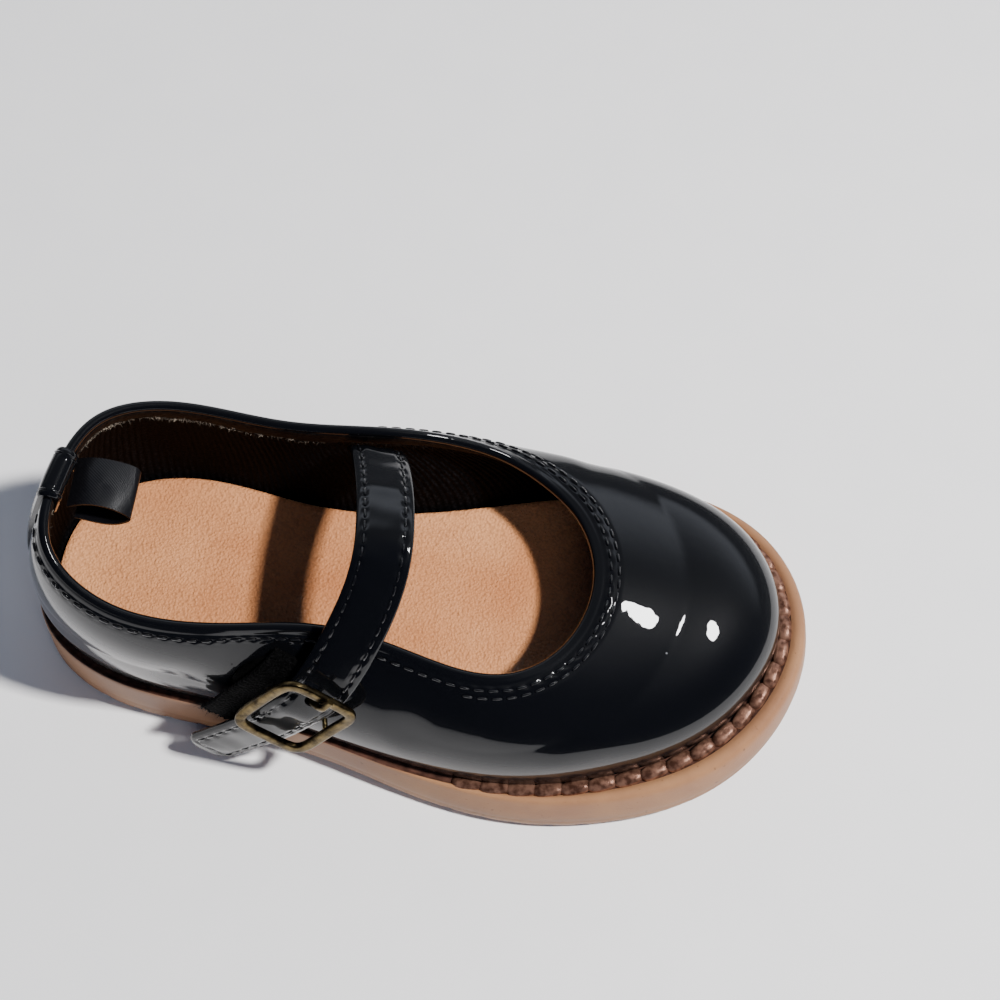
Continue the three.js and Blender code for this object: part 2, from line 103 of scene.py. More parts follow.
# A camera steeply above the outer side, rolled a little, with a long lens; places in metres
AIM = Vector((0.0127, 0.0238, 0.020))
CAMERA_DISTANCE = 0.400
CAMERA_AZIMUTH, CAMERA_ELEVATION, CAMERA_ROLL = map(math.radians, (2.96, 62.6, 4.54))
back = Vector((
    math.sin(CAMERA_AZIMUTH) * math.cos(CAMERA_ELEVATION),
    -math.cos(CAMERA_AZIMUTH) * math.cos(CAMERA_ELEVATION),
    math.sin(CAMERA_ELEVATION),
))
level = Vector((math.cos(CAMERA_AZIMUTH), math.sin(CAMERA_AZIMUTH), 0))
upright = back.cross(level)
right = math.cos(CAMERA_ROLL) * level + math.sin(CAMERA_ROLL) * upright
up = back.cross(right)
camera_data = bpy.data.cameras.new("camera")
camera_data.sensor_width = 36
camera_data.lens = 70.45
camera = bpy.data.objects.new("camera", camera_data)
turned = Matrix((right, up, back)).transposed().to_4x4()
camera.matrix_world = Matrix.Translation(AIM + back * CAMERA_DISTANCE) @ turned
bpy.context.scene.collection.objects.link(camera)
bpy.context.scene.camera = camera


def soft_light(name, place, target, size, watts, colour, mirrored=True, lights_up=True):
    """A soft lamp facing target: unmirrored it gives no glints, not lighting up it gives only those."""
    data = bpy.data.lights.new(name, "AREA")
    data.shape = "RECTANGLE" if lights_up else "ELLIPSE"
    data.size, data.size_y = size
    data.energy = watts
    data.color = srgb(colour)[:3]
    light = bpy.data.objects.new(name, data)
    aim = (Vector(target) - Vector(place)).to_track_quat("-Z", "Y")
    light.matrix_world = Matrix.Translation(place) @ aim.to_matrix().to_4x4()
    light.visible_glossy = mirrored
    light.visible_diffuse = lights_up
    bpy.context.scene.collection.objects.link(light)


MIDDLE = (0, 0, 0.02)
soft_light("key_light", (0.50, -0.06, 0.86), MIDDLE, (0.07, 0.07), 20, "#FFFAF4", mirrored=False)
soft_light("glint_light", (0.52, 0.24, 0.84), MIDDLE, (0.13, 0.06), 2.6, "#FFFFFF", lights_up=False)
soft_light("fill_light", (0.25, -0.7, 0.9), MIDDLE, (0.6, 0.6), 1.9, "#F4F6FF", mirrored=False)

# The sky is brighter beyond the inner side and in one strip there: the axis of a ray's way, and from
# where to where along it each change runs
SKY_CHANGES = {
    "from_inside": ("Y", -0.25, 0.45),
    "far_side": ("Y", 0.3, 0.8),
    "under": ("Z", 0.34, 0.48),
    "over": ("Z", 0.45, 0.78),
}
SKY_LEAST, SKY_MORE, STRIP_MORE = 0.055, 0.15, 1.6

world = bpy.data.worlds.new("studio")
bpy.context.scene.world = world
world.use_nodes = True
tree = world.node_tree
way = add(tree, "ShaderNodeTexCoord").outputs["Generated"]
axes = add(tree, "ShaderNodeSeparateXYZ", None, {0: way})
change = {}
for name, (axis, start, end) in SKY_CHANGES.items():
    span = {"interpolation_type": "SMOOTHSTEP", "From Min": start, "From Max": end}
    change[name] = add(tree, "ShaderNodeMapRange", span, {"Value": axes.outputs[axis]})
strip = add(tree, "ShaderNodeMath", {"operation": "SUBTRACT"}, {0: change["under"], 1: change["over"]})
strip = add(tree, "ShaderNodeMath", {"operation": "MULTIPLY"}, {0: strip, 1: change["far_side"]})
glow = add(tree, "ShaderNodeMath", {"operation": "MULTIPLY_ADD", 1: SKY_MORE, 2: SKY_LEAST},
           {0: change["from_inside"]})
glow = add(tree, "ShaderNodeMath", {"operation": "MULTIPLY_ADD", 1: STRIP_MORE}, {0: strip, 2: glow})
haze = add(tree, "ShaderNodeMix", {"data_type": "RGBA", 6: srgb("#6389E0"), 7: srgb("#DDE3F0")},
           {0: change["from_inside"]})
tree.links.new(haze.outputs[2], tree.nodes["Background"].inputs["Color"])
tree.links.new(glow.outputs[0], tree.nodes["Background"].inputs["Strength"])

# Matte paper gives a plain ground without gloss, its mottle barely there
floor_paper, tree, place = new_material("pale matte floor paper")
mottle = add(tree, "ShaderNodeTexNoise", {"Scale": per_metre(16.7), "Detail": 3.0}, {"Vector": place})
tone = add(tree, "ShaderNodeValToRGB", {"stops": ((0, "#EFF2F7"), (1, "#F6F8FC"))}, {"Fac": mottle})
shade(tree, {"Roughness": 0.9}, {"Base Color": tone})

FLOOR_SIZE = 6
bpy.ops.mesh.primitive_plane_add(size=FLOOR_SIZE, location=(0, 0, 0))
floor = bpy.context.active_object
floor.name = "floor"
floor.data.materials.append(floor_paper)


# ------------------------------------------------------------------------------------------------
# The last: the wooden form that gives sole and upper their shape. Each row is a section round the
# shoe, from the back of the heel along the outer side, the toe and the inner side. Sizes in mm.

LENGTH, BALL_WIDTH, HEEL_TOP = 155, 72, 50
COLUMNS = ("edge_x edge_y flare ledge top_x top_y top_z foot_lean foot_pull top_lean top_pull").split()
SECTIONS = {
    "heel_back": (0, 0, 0, 1.8, 5.2, -1.4, 103, 102, 13, 72, 13),
    "heel_outer": (2.9, -22.8, 0, 1.7, 5.8, -21.4, 98, 102, 12, 72, 12),
    "seat_outer": (13.9, -36, 0, 1.5, 15, -33.3, 86, 101, 11, 72, 11),
    "waist_outer": (28.6, -39.7, 0.1, 1.2, 28.3, -31, 76.4, 98, 11, 62, 9),
    "strap_outer": (43.2, -45.8, 0.5, 1.2, 41.6, -27.4, 73.6, 96, 12, 52, 10),
    "ball_outer": (60.5, -53.3, 1.2, 2.9, 55.6, -32, 67, 96, 13, 40, 10),
    "fore_outer": (76.8, -50.6, 1.2, 5.1, 64.8, -28.4, 63.2, 96, 14, 28, 13),
    "toe_outer": (91.9, -34.7, 1.2, 6.4, 70.4, -15.2, 62, 96, 14, 20, 17),
    "toe_tip": (100, -0.8, 0.9, 5.8, 72.2, 2.2, 63, 96, 14, 18, 18),
    "toe_inner": (94.9, 31.9, 0.7, 4.8, 70, 17.9, 62, 96, 14, 20, 17),
    "fore_inner": (82.2, 46.4, 0.7, 4.4, 65.2, 28.9, 62, 96, 14, 30, 13),
    "ball_inner": (67.5, 46.9, 0.6, 3.8, 56.4, 35.8, 69, 98, 12, 60, 10),
    "waist_inner": (50.3, 36.9, 0.3, 3.4, 43.4, 32.9, 81, 99, 11, 76, 10),
    "arch_inner": (34.3, 31.7, 0.1, 2.3, 30.6, 29.4, 85.2, 100, 11, 80, 10),
    "seat_inner": (18.2, 33.8, 0, 1.5, 18.1, 27.8, 94, 101, 11, 78, 11),
    "heel_inner": (4.8, 22.9, 0, 1.6, 8.7, 17.6, 102.6, 102, 12, 72, 12),
}
AROUND = len(SECTIONS)
# Curved pieces keep about this far apart
FEATHER_GAP = 0.35
# Heights along the last: the footbed rises to the seat and the toe, the tread at the arch and the toe
FOOTBED, SEAT_RISE, SEAT_END, TOE_RISE, TOE_START, TOE_RUN = 10.7, 2.5, 90, 4.7, 95, 60
ARCH_RISE, ARCH_START, ARCH_RUN = 1.2, 48, 36
TOE_SPRING, SPRING_START, SPRING_RUN = 5, 112, 43.5


def smooth_curve(rows, closed):
    """A function through evenly spaced rows: cubic spline controls nudged until it meets them."""
    rows = np.atleast_2d(np.asarray(rows, float).T).T
    control = rows.copy()

    def padded(values):
        if closed:
            return np.vstack([values[-1:], values, values[:2]])
        return np.vstack([2 * values[0] - values[1], values, 2 * values[-1] - values[-2],
                          2 * values[-1] - values[-3]])

    for _ in range(40):
        wide = padded(control)
        control = control + rows - (wide[:-3] + 4 * wide[1:-2] + wide[2:-1]) / 6
    wide = padded(control)

    def at(u):
        u = np.asarray(u, float)
        u = u % len(rows) if closed else np.clip(u, 0, len(rows) - 1)
        cell = np.minimum(np.floor(u).astype(int), len(rows) - 1 if closed else len(rows) - 2)
        t = (u - cell)[..., None]
        return ((1 - t) ** 3 * wide[cell] + (3 * t ** 3 - 6 * t ** 2 + 4) * wide[cell + 1]
                + (-3 * t ** 3 + 3 * t ** 2 + 3 * t + 1) * wide[cell + 2] + t ** 3 * wide[cell + 3]) / 6

    return at


def unit(vectors):
    return vectors / np.maximum(np.linalg.norm(vectors, axis=-1, keepdims=True), 1e-12)


shares = np.array([LENGTH, BALL_WIDTH, 100, 100, LENGTH, BALL_WIDTH, HEEL_TOP, 100, 100, 100, 100]) / 100
last = smooth_curve(np.array(list(SECTIONS.values())) * shares, closed=True)


def column(name, u):
    return last(u)[..., COLUMNS.index(name)]


def edge(u):
    return np.stack([column("edge_x", u), column("edge_y", u), 0 * u], -1)


def collar(u):
    return last(u)[..., 4:7]


def inward(curve, u):
    """Inward normal, seen from above, of a curve that runs anticlockwise round the shoe."""
    ahead = curve(u + 1e-3) - curve(u - 1e-3)
    return unit(np.stack([-ahead[..., 1], ahead[..., 0], 0 * u], -1))


def feather_height(x):
    seat = np.where(x < SEAT_END, SEAT_RISE * (0.5 + 0.5 * np.cos(np.pi * x / SEAT_END)), 0)
    toe = np.where(x > TOE_START, TOE_RISE * ((x - TOE_START) / TOE_RUN) ** 2, 0)
    return FOOTBED + seat + toe


def tread_height(x):
    over_arch = (x > ARCH_START) & (x < ARCH_START + ARCH_RUN)
    arch = np.where(over_arch, ARCH_RISE * np.sin(np.pi * (x - ARCH_START) / ARCH_RUN) ** 2, 0)
    spring = np.where(x > SPRING_START, TOE_SPRING * ((x - SPRING_START) / SPRING_RUN) ** 2, 0)
    return arch + spring


def feather(u):
    point = edge(u) + inward(edge, u) * column("ledge", u)[..., None]
    point[..., 2] = feather_height(point[..., 0])
    return point


def upper_face(u, v):
    """The last's surface: a rib from the feather line (v = 0) to the collar (v = 1) at every u."""
    foot, top = feather(u), collar(u)
    foot_lean, top_lean = np.radians(column("foot_lean", u)), np.radians(column("top_lean", u))
    lifted = np.array([0, 0, 1.0])
    foot_pull = inward(feather, u) * np.cos(foot_lean)[..., None] + lifted * np.sin(foot_lean)[..., None]
    top_pull = inward(collar, u) * np.cos(top_lean)[..., None] + lifted * np.sin(top_lean)[..., None]
    low = foot + foot_pull * column("foot_pull", u)[..., None]
    high = top - top_pull * column("top_pull", u)[..., None]
    v = np.asarray(v)[..., None]
    return (1 - v) ** 3 * foot + 3 * (1 - v) ** 2 * v * low + 3 * (1 - v) * v ** 2 * high + v ** 3 * top


def upper_normal(u, v):
    along = upper_face(u + 1e-3, v) - upper_face(u - 1e-3, v)
    rise = upper_face(u, v + 1e-3) - upper_face(u, v - 1e-3)
    return unit(np.cross(along, rise))


def off_upper(u, v, distance):
    return upper_face(u, v) + upper_normal(u, v) * np.asarray(distance)[..., None]


def below_collar(u, depth):
    """The height v of a line that runs depth mm below the collar's edge."""
    return 1 - depth / (3 * column("top_pull", u))


everywhere = np.linspace(0, AROUND, 2000)
outline = edge(everywhere) - inward(edge, everywhere) * column("flare", everywhere)[..., None]
sole_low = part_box("outsole")[0]
SHIFT = np.array([sole_low.x, sole_low.y, 0]) * 1000 - np.append(outline[:, :2].min(0), 0)


def to_frame(points):
    """From the last's own millimetres to the frame's metres."""
    return (np.asarray(points) + SHIFT) / 1000


def finish_mesh(name, points, faces, material, corner_uv=None, sharp=50):
    """A named object from points in the last's millimetres, smooth but for edges over sharp degrees."""
    mesh = bpy.data.meshes.new(name)
    mesh.from_pydata(to_frame(points).tolist(), [], faces)
    if corner_uv is not None:
        layer = mesh.uv_layers.new(name="millimetres")
        layer.data.foreach_set("uv", np.asarray(corner_uv, np.float32).ravel())
    mesh.shade_smooth()
    mesh.set_sharp_from_angle(angle=math.radians(sharp))
    mesh.materials.append(material)
    mesh.validate()
    piece = bpy.data.objects.new(name, mesh)
    bpy.context.scene.collection.objects.link(piece)
    return piece


def grid_faces(rows, size, rows_closed=True, size_closed=True):
    """Quads over a grid of points, wrapping round where closed, and each one's grid corners."""
    i = np.arange(rows if rows_closed else rows - 1)
    k = np.arange(size if size_closed else size - 1)
    a, b = np.meshgrid(i, k, indexing="ij")
    corners = np.stack([np.stack([a, b], -1), np.stack([a + 1, b], -1),
                        np.stack([a + 1, b + 1], -1), np.stack([a, b + 1], -1)], -2).reshape(-1, 4, 2)
    faces = (corners[..., 0] % rows) * size + corners[..., 1] % size
    return faces, corners


def skin(name, grid, material, rows_closed=True, size_closed=True, uv=None, caps=False, sharp=50):
    """A surface over a grid of points. uv has one more row and column than a closed grid."""
    rows, size = grid.shape[:2]
    faces, corners = grid_faces(rows, size, rows_closed, size_closed)
    corner_uv = None
    if uv is not None:
        corner_uv = uv[corners[..., 0], corners[..., 1]]
    faces = faces.tolist()
    if caps:
        faces.append(list(range(size)))
        faces.append([(rows - 1) * size + k for k in reversed(range(size))])
        if corner_uv is not None:
            ends = np.concatenate([uv[0, :size], uv[rows - 1, :size][::-1]])
            corner_uv = np.concatenate([corner_uv.reshape(-1, 2), ends])
    return outward(finish_mesh(name, grid.reshape(-1, 3), faces, material, corner_uv, sharp))


def outward(piece):
    """Turns a closed piece whose faces look in inside out."""
    mesh = piece.data
    mesh.calc_loop_triangles()
    place = np.array([v.co for v in mesh.vertices])
    tris = np.array([t.vertices for t in mesh.loop_triangles])
    a, b, c = place[tris[:, 0]], place[tris[:, 1]], place[tris[:, 2]]
    if np.einsum("ij,ij->i", a, np.cross(b, c)).sum() < 0:
        mesh.flip_normals()
    return piece


def wear(piece, slot, *nodes):
    """The piece rides with the shoe and stands for CAD nodes, which it hides; slot is not used."""
    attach(piece, "root")
    if nodes:
        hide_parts(*nodes)


# ------------------------------------------------------------------------------------------------
# Outsole: one moulded unit of tan gum rubber, with a ledge for the welt, a fine line along the
# ledge's edge, a parting line half way down and lugs cut in from both edges of the tread.

LUG_PITCH, LUG_GROOVE, LUG_DEPTH, TREAD_SPINE = 6.7, 1.8, 1.5, 10
# where the first groove lies and how many there are
GROOVES = {"heel": (9.5, 5), "forefoot": (88, 9)}
SPINE_FROM, SPINE_TO, SPINE_Y = 28, 126, -2
PAST_SOLE = 60

# Moulded rubber gives a satin surface: soft tan clouds, small dirty scuffs and a hazy highlight
gum_rubber, tree, place = new_material("moulded gum rubber")
cloud = add(tree, "ShaderNodeTexNoise", {"Scale": per_metre(18.2), "Detail": 5.0, "Roughness": 0.6},
            {"Vector": place})
tone = add(tree, "ShaderNodeValToRGB", {"stops": ((0.3, "#876149"), (0.7, "#A07857"))}, {"Fac": cloud})
scuffs = add(tree, "ShaderNodeTexNoise", {"Scale": per_metre(1.11), "Detail": 2.0}, {"Vector": place})
scuff_mask = add(tree, "ShaderNodeMapRange", {"From Min": 0.68, "From Max": 0.8}, {"Value": scuffs})
dirty = add(tree, "ShaderNodeMix", {"data_type": "RGBA", 7: srgb("#6E4D37")}, {6: tone, 0: scuff_mask})
gloss = add(tree, "ShaderNodeMapRange", {"To Min": 0.42, "To Max": 0.62}, {"Value": cloud})
grain = add(tree, "ShaderNodeTexNoise", {"Scale": per_metre(0.455), "Detail": 2.0}, {"Vector": place})
relief = add(tree, "ShaderNodeBump", {"Strength": 0.12, "Distance": 0.0004}, {"Height": grain})
shade(tree, {"Specular IOR Level": 0.35},
      {"Base Color": dirty.outputs[2], "Roughness": gloss, "Normal": relief})

# share of the side's height from tread to ledge, part of the bulge, outset in mm
SIDE = {
    "tread_edge": (0, 0.35, -0.7),
    "tread_round": (0.03, 0.6, -0.3),
    "tread_side": (0.09, 0.85, -0.05),
    "low_side": (0.2, 1, 0),
    "parting_low": (0.3, 1, 0),
    "parting": (0.325, 0.98, -0.06),
    "parting_high": (0.35, 1, 0),
    "middle": (0.48, 0.9, 0),
    "high_side": (0.62, 0.68, 0),
    "shoulder": (0.76, 0.36, 0),
    "ledge_turn": (0.87, 0.1, 0),
}
# share of the ledge's width from the edge to the upper, drop in mm below the footbed
LEDGE = {
    "turn": (0.02, 0.95),
    "round": (0.07, 0.55),
    "rim": (0.13, 0.3),
    "crown": (0.22, 0.15),
    "crown_in": (0.32, 0.18),
    "valley": (0.42, 0.4),
    "valley_floor": (0.48, 0.75),
    "channel": (0.55, 1.0),
    "channel_floor": (0.62, 1.1),
    "channel_back": (0.92, 1.1),
    "under_upper": (1.12, 1.1),
}
BED_SHARES = (0.05, 0.25, 0.5, 0.75)
turns = np.linspace(0, AROUND, 720, endpoint=False)


def towards_middle(points, share):
    """Points moved by a share of their way to the sole's spine."""
    spine_x = np.clip(points[..., 0], SPINE_FROM, SPINE_TO)
    middle = np.stack([spine_x, np.full_like(spine_x, SPINE_Y), points[..., 2]], -1)
    return points + (middle - points) * share


def sole_side(share, bulge, outset):
    point = edge(turns) - inward(edge, turns) * (bulge * column("flare", turns) + outset)[..., None]
    low = tread_height(point[:, 0])
    point[:, 2] = low + (feather_height(point[:, 0]) - FEATHER_GAP - low) * share
    return point


def sole_ledge(share, drop):
    width = column("ledge", turns)
    point = edge(turns) + inward(edge, turns) * (share * width)[..., None]
    point[:, 2] = feather_height(point[:, 0]) - FEATHER_GAP - drop * np.clip(width / 4, 0.3, 1)
    return point


def sole_bed(share, height, lift):
    point = towards_middle(feather(turns) + inward(feather, turns) * 1.2, share)
    point[:, 2] = height(point[:, 0]) + lift
    return point


rings = [sole_bed(s, tread_height, 0) for s in reversed(BED_SHARES)]
rings += [sole_side(*row) for row in SIDE.values()]
rings += [sole_ledge(*row) for row in LEDGE.values()]
rings += [sole_bed(s, feather_height, -FEATHER_GAP) for s in BED_SHARES]


def closed_rings(name, rings, material, sharp=50):
    """Rings stacked from the bottom middle to the top middle, closed by strips from side to side."""
    grid = np.array(rings)
    count, size = grid.shape[:2]
    faces = grid_faces(count, size, rows_closed=False)[0].tolist()
    for start, flip in ((0, False), ((count - 1) * size, True)):
        half = size // 2
        strip = [[k, k + 1, size - k - 1, size - k] for k in range(1, half - 1)]
        strip += [[0, 1, size - 1], [half - 1, half, half + 1]]
        faces += [[start + k for k in (reversed(f) if flip else f)] for f in strip]
    return outward(finish_mesh(name, grid.reshape(-1, 3), faces, material, None, sharp))


outsole = closed_rings("outsole_unit", rings, gum_rubber)


def boxes(name, places):
    """Joined boxes, each from its lowest and highest corner in the last's millimetres."""
    points, faces = [], []
    for low, high in places:
        first = len(points)
        points += [(x, y, z) for z in (low[2], high[2]) for y in (low[1], high[1]) for x in (low[0], high[0])]
        faces += [[first + k for k in f] for f in
                  ((0, 2, 3, 1), (4, 5, 7, 6), (0, 1, 5, 4), (2, 6, 7, 3), (0, 4, 6, 2), (1, 3, 7, 5))]
    return finish_mesh(name, points, faces, gum_rubber)


def plain_mesh(piece):
    """The piece's mesh with its modifiers applied."""
    bpy.context.view_layer.update()
    return bpy.data.meshes.new_from_object(piece.evaluated_get(bpy.context.evaluated_depsgraph_get()))


def cut_away(piece, cutter, sharp):
    """Cuts the cutter's shape out of a piece, smooth but for edges over sharp degrees."""
    cut = piece.modifiers.new("cut", "BOOLEAN")
    cut.operation = "DIFFERENCE"
    cut.solver = "MANIFOLD"
    cut.object = cutter
    mesh = plain_mesh(piece)
    piece.modifiers.clear()
    piece.data = mesh
    bpy.data.objects.remove(cutter)
    mesh.shade_smooth()
    mesh.set_sharp_from_angle(angle=math.radians(sharp))


grooves = []
for first, count in GROOVES.values():
    for x in (first + i * LUG_PITCH for i in range(count)):
        top = float(tread_height(np.array(x))) + LUG_DEPTH
        for low_y, high_y in ((-PAST_SOLE, SPINE_Y - TREAD_SPINE), (SPINE_Y + TREAD_SPINE, PAST_SOLE)):
            grooves.append(((x - LUG_GROOVE / 2, low_y, -1), (x + LUG_GROOVE / 2, high_y, top)))
cut_away(outsole, boxes("lug_cutter", grooves), sharp=40)
wear(outsole, "sole_rubber", "outsole")


# ------------------------------------------------------------------------------------------------
# Welt: a moulded row of raised stitches in the ledge's channel, round the forefoot only. It is the
# same rubber with a pinkish metallic wash on its crowns. Under it a dark band covers the channel:
# partly paint, partly painted shade for the crevice beside the upper.

WELT_PITCH, WELT_LENGTH, WELT_WIDTH, WELT_HEIGHT, WELT_SLANT = 5.3, 6.2, 3.0, 1.8, 0.1
WELT_FROM, WELT_TO, WELT_IN, WELT_SUNK = 4.8, 12.6, 0.77, 0.62


def new_tree(name, sizes):
    """An empty Geometry Nodes tree that takes points, its named sizes and a thread's material."""
    group = bpy.data.node_groups.new(name, "GeometryNodeTree")
    for label, kind in {"Geometry": "Geometry", **sizes, "Thread": "Material"}.items():
        group.interface.new_socket(label, in_out="INPUT", socket_type="NodeSocket" + kind)
    group.interface.new_socket("Geometry", in_out="OUTPUT", socket_type="NodeSocketGeometry")
    return group, add(group, "NodeGroupInput").outputs


def on_every_point(group, given, shape, rotation, size):
    """Ends a tree: the shape on every point, turned and sized, made real and given its material."""
    row = add(group, "GeometryNodeInstanceOnPoints", None, {
        "Points": given["Geometry"], "Instance": shape, "Rotation": rotation, "Scale": size})
    real = add(group, "GeometryNodeRealizeInstances", None, {0: row})
    dressed = add(group, "GeometryNodeSetMaterial", None, {0: real, "Material": given["Thread"]})
    add(group, "NodeGroupOutput", None, {0: dressed})


def stitch_tree():
    """Geometry Nodes: one capsule on every point, laid along the point's own direction."""
    group, given = new_tree("stitch_row", {
        "Stitch Length": "Float", "Stitch Width": "Float", "Stitch Height": "Float", "Roundings": "Int"})
    along = add(group, "GeometryNodeInputNamedAttribute", {"data_type": "FLOAT_VECTOR", "Name": "along"})
    face = add(group, "GeometryNodeInputNamedAttribute", {"data_type": "FLOAT_VECTOR", "Name": "face"})
    turned = add(group, "FunctionNodeAxesToRotation", {"primary_axis": "Z", "secondary_axis": "X"},
                 {0: face, 1: along})
    size = add(group, "ShaderNodeCombineXYZ", None, {
        0: given["Stitch Length"], 1: given["Stitch Width"], 2: given["Stitch Height"]})
    # A little larger than 1, because rounding the block shrinks it
    block = add(group, "GeometryNodeMeshCube", {"Size": (1.1, 1.1, 1.1)})
    bead = add(group, "GeometryNodeSubdivisionSurface", {"Edge Crease": 0.22},
               {"Mesh": block, "Level": given["Roundings"]})
    smooth = add(group, "GeometryNodeSetShadeSmooth", {"Shade Smooth": True}, {"Geometry": bead})
    on_every_point(group, given, smooth, turned, size)
    return group


stitches = stitch_tree()


def grown(name, tree, points, attributes, inputs):
    """Runs a Geometry Nodes tree over points in the last's millimetres and keeps the plain mesh."""
    mesh = bpy.data.meshes.new(name)
    mesh.from_pydata(to_frame(points).tolist(), [], [])
    for key, values in attributes.items():
        layer = mesh.attributes.new(key, "FLOAT_VECTOR", "POINT")
        layer.data.foreach_set("vector", np.asarray(values, np.float32).ravel())
    seed = bpy.data.objects.new(name + "_points", mesh)
    bpy.context.scene.collection.objects.link(seed)
    modifier = seed.modifiers.new("grow", "NODES")
    modifier.node_group = tree
    for item in tree.interface.items_tree:
        if item.in_out == "INPUT" and item.name in inputs:
            modifier[item.identifier] = inputs[item.name]
    made = plain_mesh(seed)
    bpy.data.objects.remove(seed)
    made.name = name
    piece = bpy.data.objects.new(name, made)
    bpy.context.scene.collection.objects.link(piece)
    return piece


def run_along(points):
    """The distance along a line of points, from its first to each one."""
    return np.concatenate([[0], np.cumsum(np.linalg.norm(np.diff(points, axis=0), axis=1))])


def evenly(points, pitch):
    """Indices of a fine line's points that lie a pitch apart, and each one's direction."""
    run = run_along(points)
    count = max(int(run[-1] / pitch), 1)
    picks = np.searchsorted(run, (np.arange(count) + 0.5) * run[-1] / count)
    picks = np.clip(picks, 1, len(points) - 2)
    return picks, unit(points[picks + 1] - points[picks - 1])


def stitch_row(name, points, faces, size, pitch, thread, roundings=1, slant=0):
    """Stitches of a length, width and height in mm along a line, each turned a little by slant."""
    picks, along = evenly(points, pitch)
    along = unit(along + slant * np.cross(faces[picks], along))
    length, width, height = (side / 1000 for side in size)
    return grown(name, stitches, points[picks], {"along": along, "face": faces[picks]}, {
        "Stitch Length": length, "Stitch Width": width, "Stitch Height": height,
        "Roundings": roundings, "Thread": thread})


# The wash gives rosy metal glints on each stitch's crown and leaves the grooves a dull brown
washed_rubber, tree, place = new_material("gum rubber with a rubbed metallic wash")
rub = add(tree, "ShaderNodeTexNoise", {"Scale": per_metre(1.43), "Detail": 3.0}, {"Vector": place})
tone = add(tree, "ShaderNodeValToRGB", {"stops": ((0.35, "#5E3F33"), (0.62, "#AA7F6B"))}, {"Fac": rub})
gloss = add(tree, "ShaderNodeMapRange", {"To Min": 0.22, "To Max": 0.42}, {"Value": rub})
relief = add(tree, "ShaderNodeBump", {"Strength": 0.3, "Distance": 0.0002}, {"Height": rub})
shade(tree, {"Metallic": 0.75}, {"Base Color": tone, "Roughness": gloss, "Normal": relief})

welt_run = np.linspace(WELT_FROM, WELT_TO, 3000)
welt_line = edge(welt_run) + inward(edge, welt_run) * (column("ledge", welt_run) * WELT_IN)[..., None]
welt_line[:, 2] = feather_height(welt_line[:, 0]) - FEATHER_GAP - WELT_SUNK
upright_faces = np.tile([0, 0, 1.0], (len(welt_run), 1))
welt = stitch_row("welt_stitches", welt_line, upright_faces, (WELT_LENGTH, WELT_WIDTH, WELT_HEIGHT),
                  WELT_PITCH, washed_rubber, roundings=2, slant=WELT_SLANT)
wear(welt, "sole_rubber")

# Partly brushed-on paint, partly painted shade: a dull, slightly uneven dark band between sole and upper
umber_paint_and_shade, tree, place = new_material("umber paint and painted shade")
rub = add(tree, "ShaderNodeTexNoise", {"Scale": per_metre(2), "Detail": 3.0}, {"Vector": place})
tone = add(tree, "ShaderNodeValToRGB", {"stops": ((0.35, "#2E1E19"), (0.7, "#553A31"))}, {"Fac": rub})
relief = add(tree, "ShaderNodeBump", {"Strength": 0.2, "Distance": 0.0002}, {"Height": rub})
shade(tree, {"Roughness": 0.5}, {"Base Color": tone, "Normal": relief})

# The dark band covers the channel; where the welt ends, behind the ball, it spreads to the ledge's edge,
# where it also stands for painted shade on the darker heel and waist side
DARK_BAND_LIFT, DARK_BAND_ROOT, DARK_BAND_FADE = 0.12, 1.3, 0.6
bare_ledge = np.array(list(LEDGE.values())).T
past_welt = np.maximum(WELT_FROM + 0.1 - turns, turns - WELT_TO + 0.1)
dark_band_edge = 0.5 - 0.4 * np.clip(past_welt / DARK_BAND_FADE, 0, 1)
painted = [sole_ledge(dark_band_edge, DARK_BAND_ROOT)]
for share in (0.01, 0.06, 0.12, 0.2, 0.3, 0.45, 0.65, 0.85, 1.1, 1.25):
    at = dark_band_edge + (1 - dark_band_edge) * share
    painted.append(sole_ledge(at, np.interp(at, *bare_ledge) - DARK_BAND_LIFT))
painted.append(sole_ledge(at, DARK_BAND_ROOT))
band = skin("welt_band", np.stack(painted, 1), umber_paint_and_shade, sharp=60)
wear(band, "sole_rubber")


# ------------------------------------------------------------------------------------------------
# Insole: a tan leather sock over a thin foam pad, glued into the shoe, with a fine pebbled grain
# and a slightly raised edge where it meets the lining.

INSOLE_THICKNESS, LINING_CLEAR, SOCK_HOLLOW = 2.4, 2.35, 0.75
RAISED_EDGE = INSOLE_THICKNESS + 0.35
# inset and height of the sock's side, from its underside to its raised edge
SOCK_SIDE = ((0.1, 0.4), (0.1, INSOLE_THICKNESS * 0.7), (0.3, INSOLE_THICKNESS + 0.1), (0.8, RAISED_EDGE))

# Pebbled leather gives a soft sheen broken up by the grain; painted shade darkens the valleys between the
# pebbles
tan_leather, tree, place = new_material("tan pebbled sock leather")
cloud = add(tree, "ShaderNodeTexNoise", {"Scale": per_metre(26.3), "Detail": 4.0}, {"Vector": place})
pebbles = add(tree, "ShaderNodeTexVoronoi", {
    "Scale": per_metre(0.5), "feature": "SMOOTH_F1", "Randomness": 1.0}, {"Vector": place})
tone = add(tree, "ShaderNodeValToRGB", {"stops": ((0.3, "#B8774D"), (0.72, "#D6986A"))}, {"Fac": cloud})
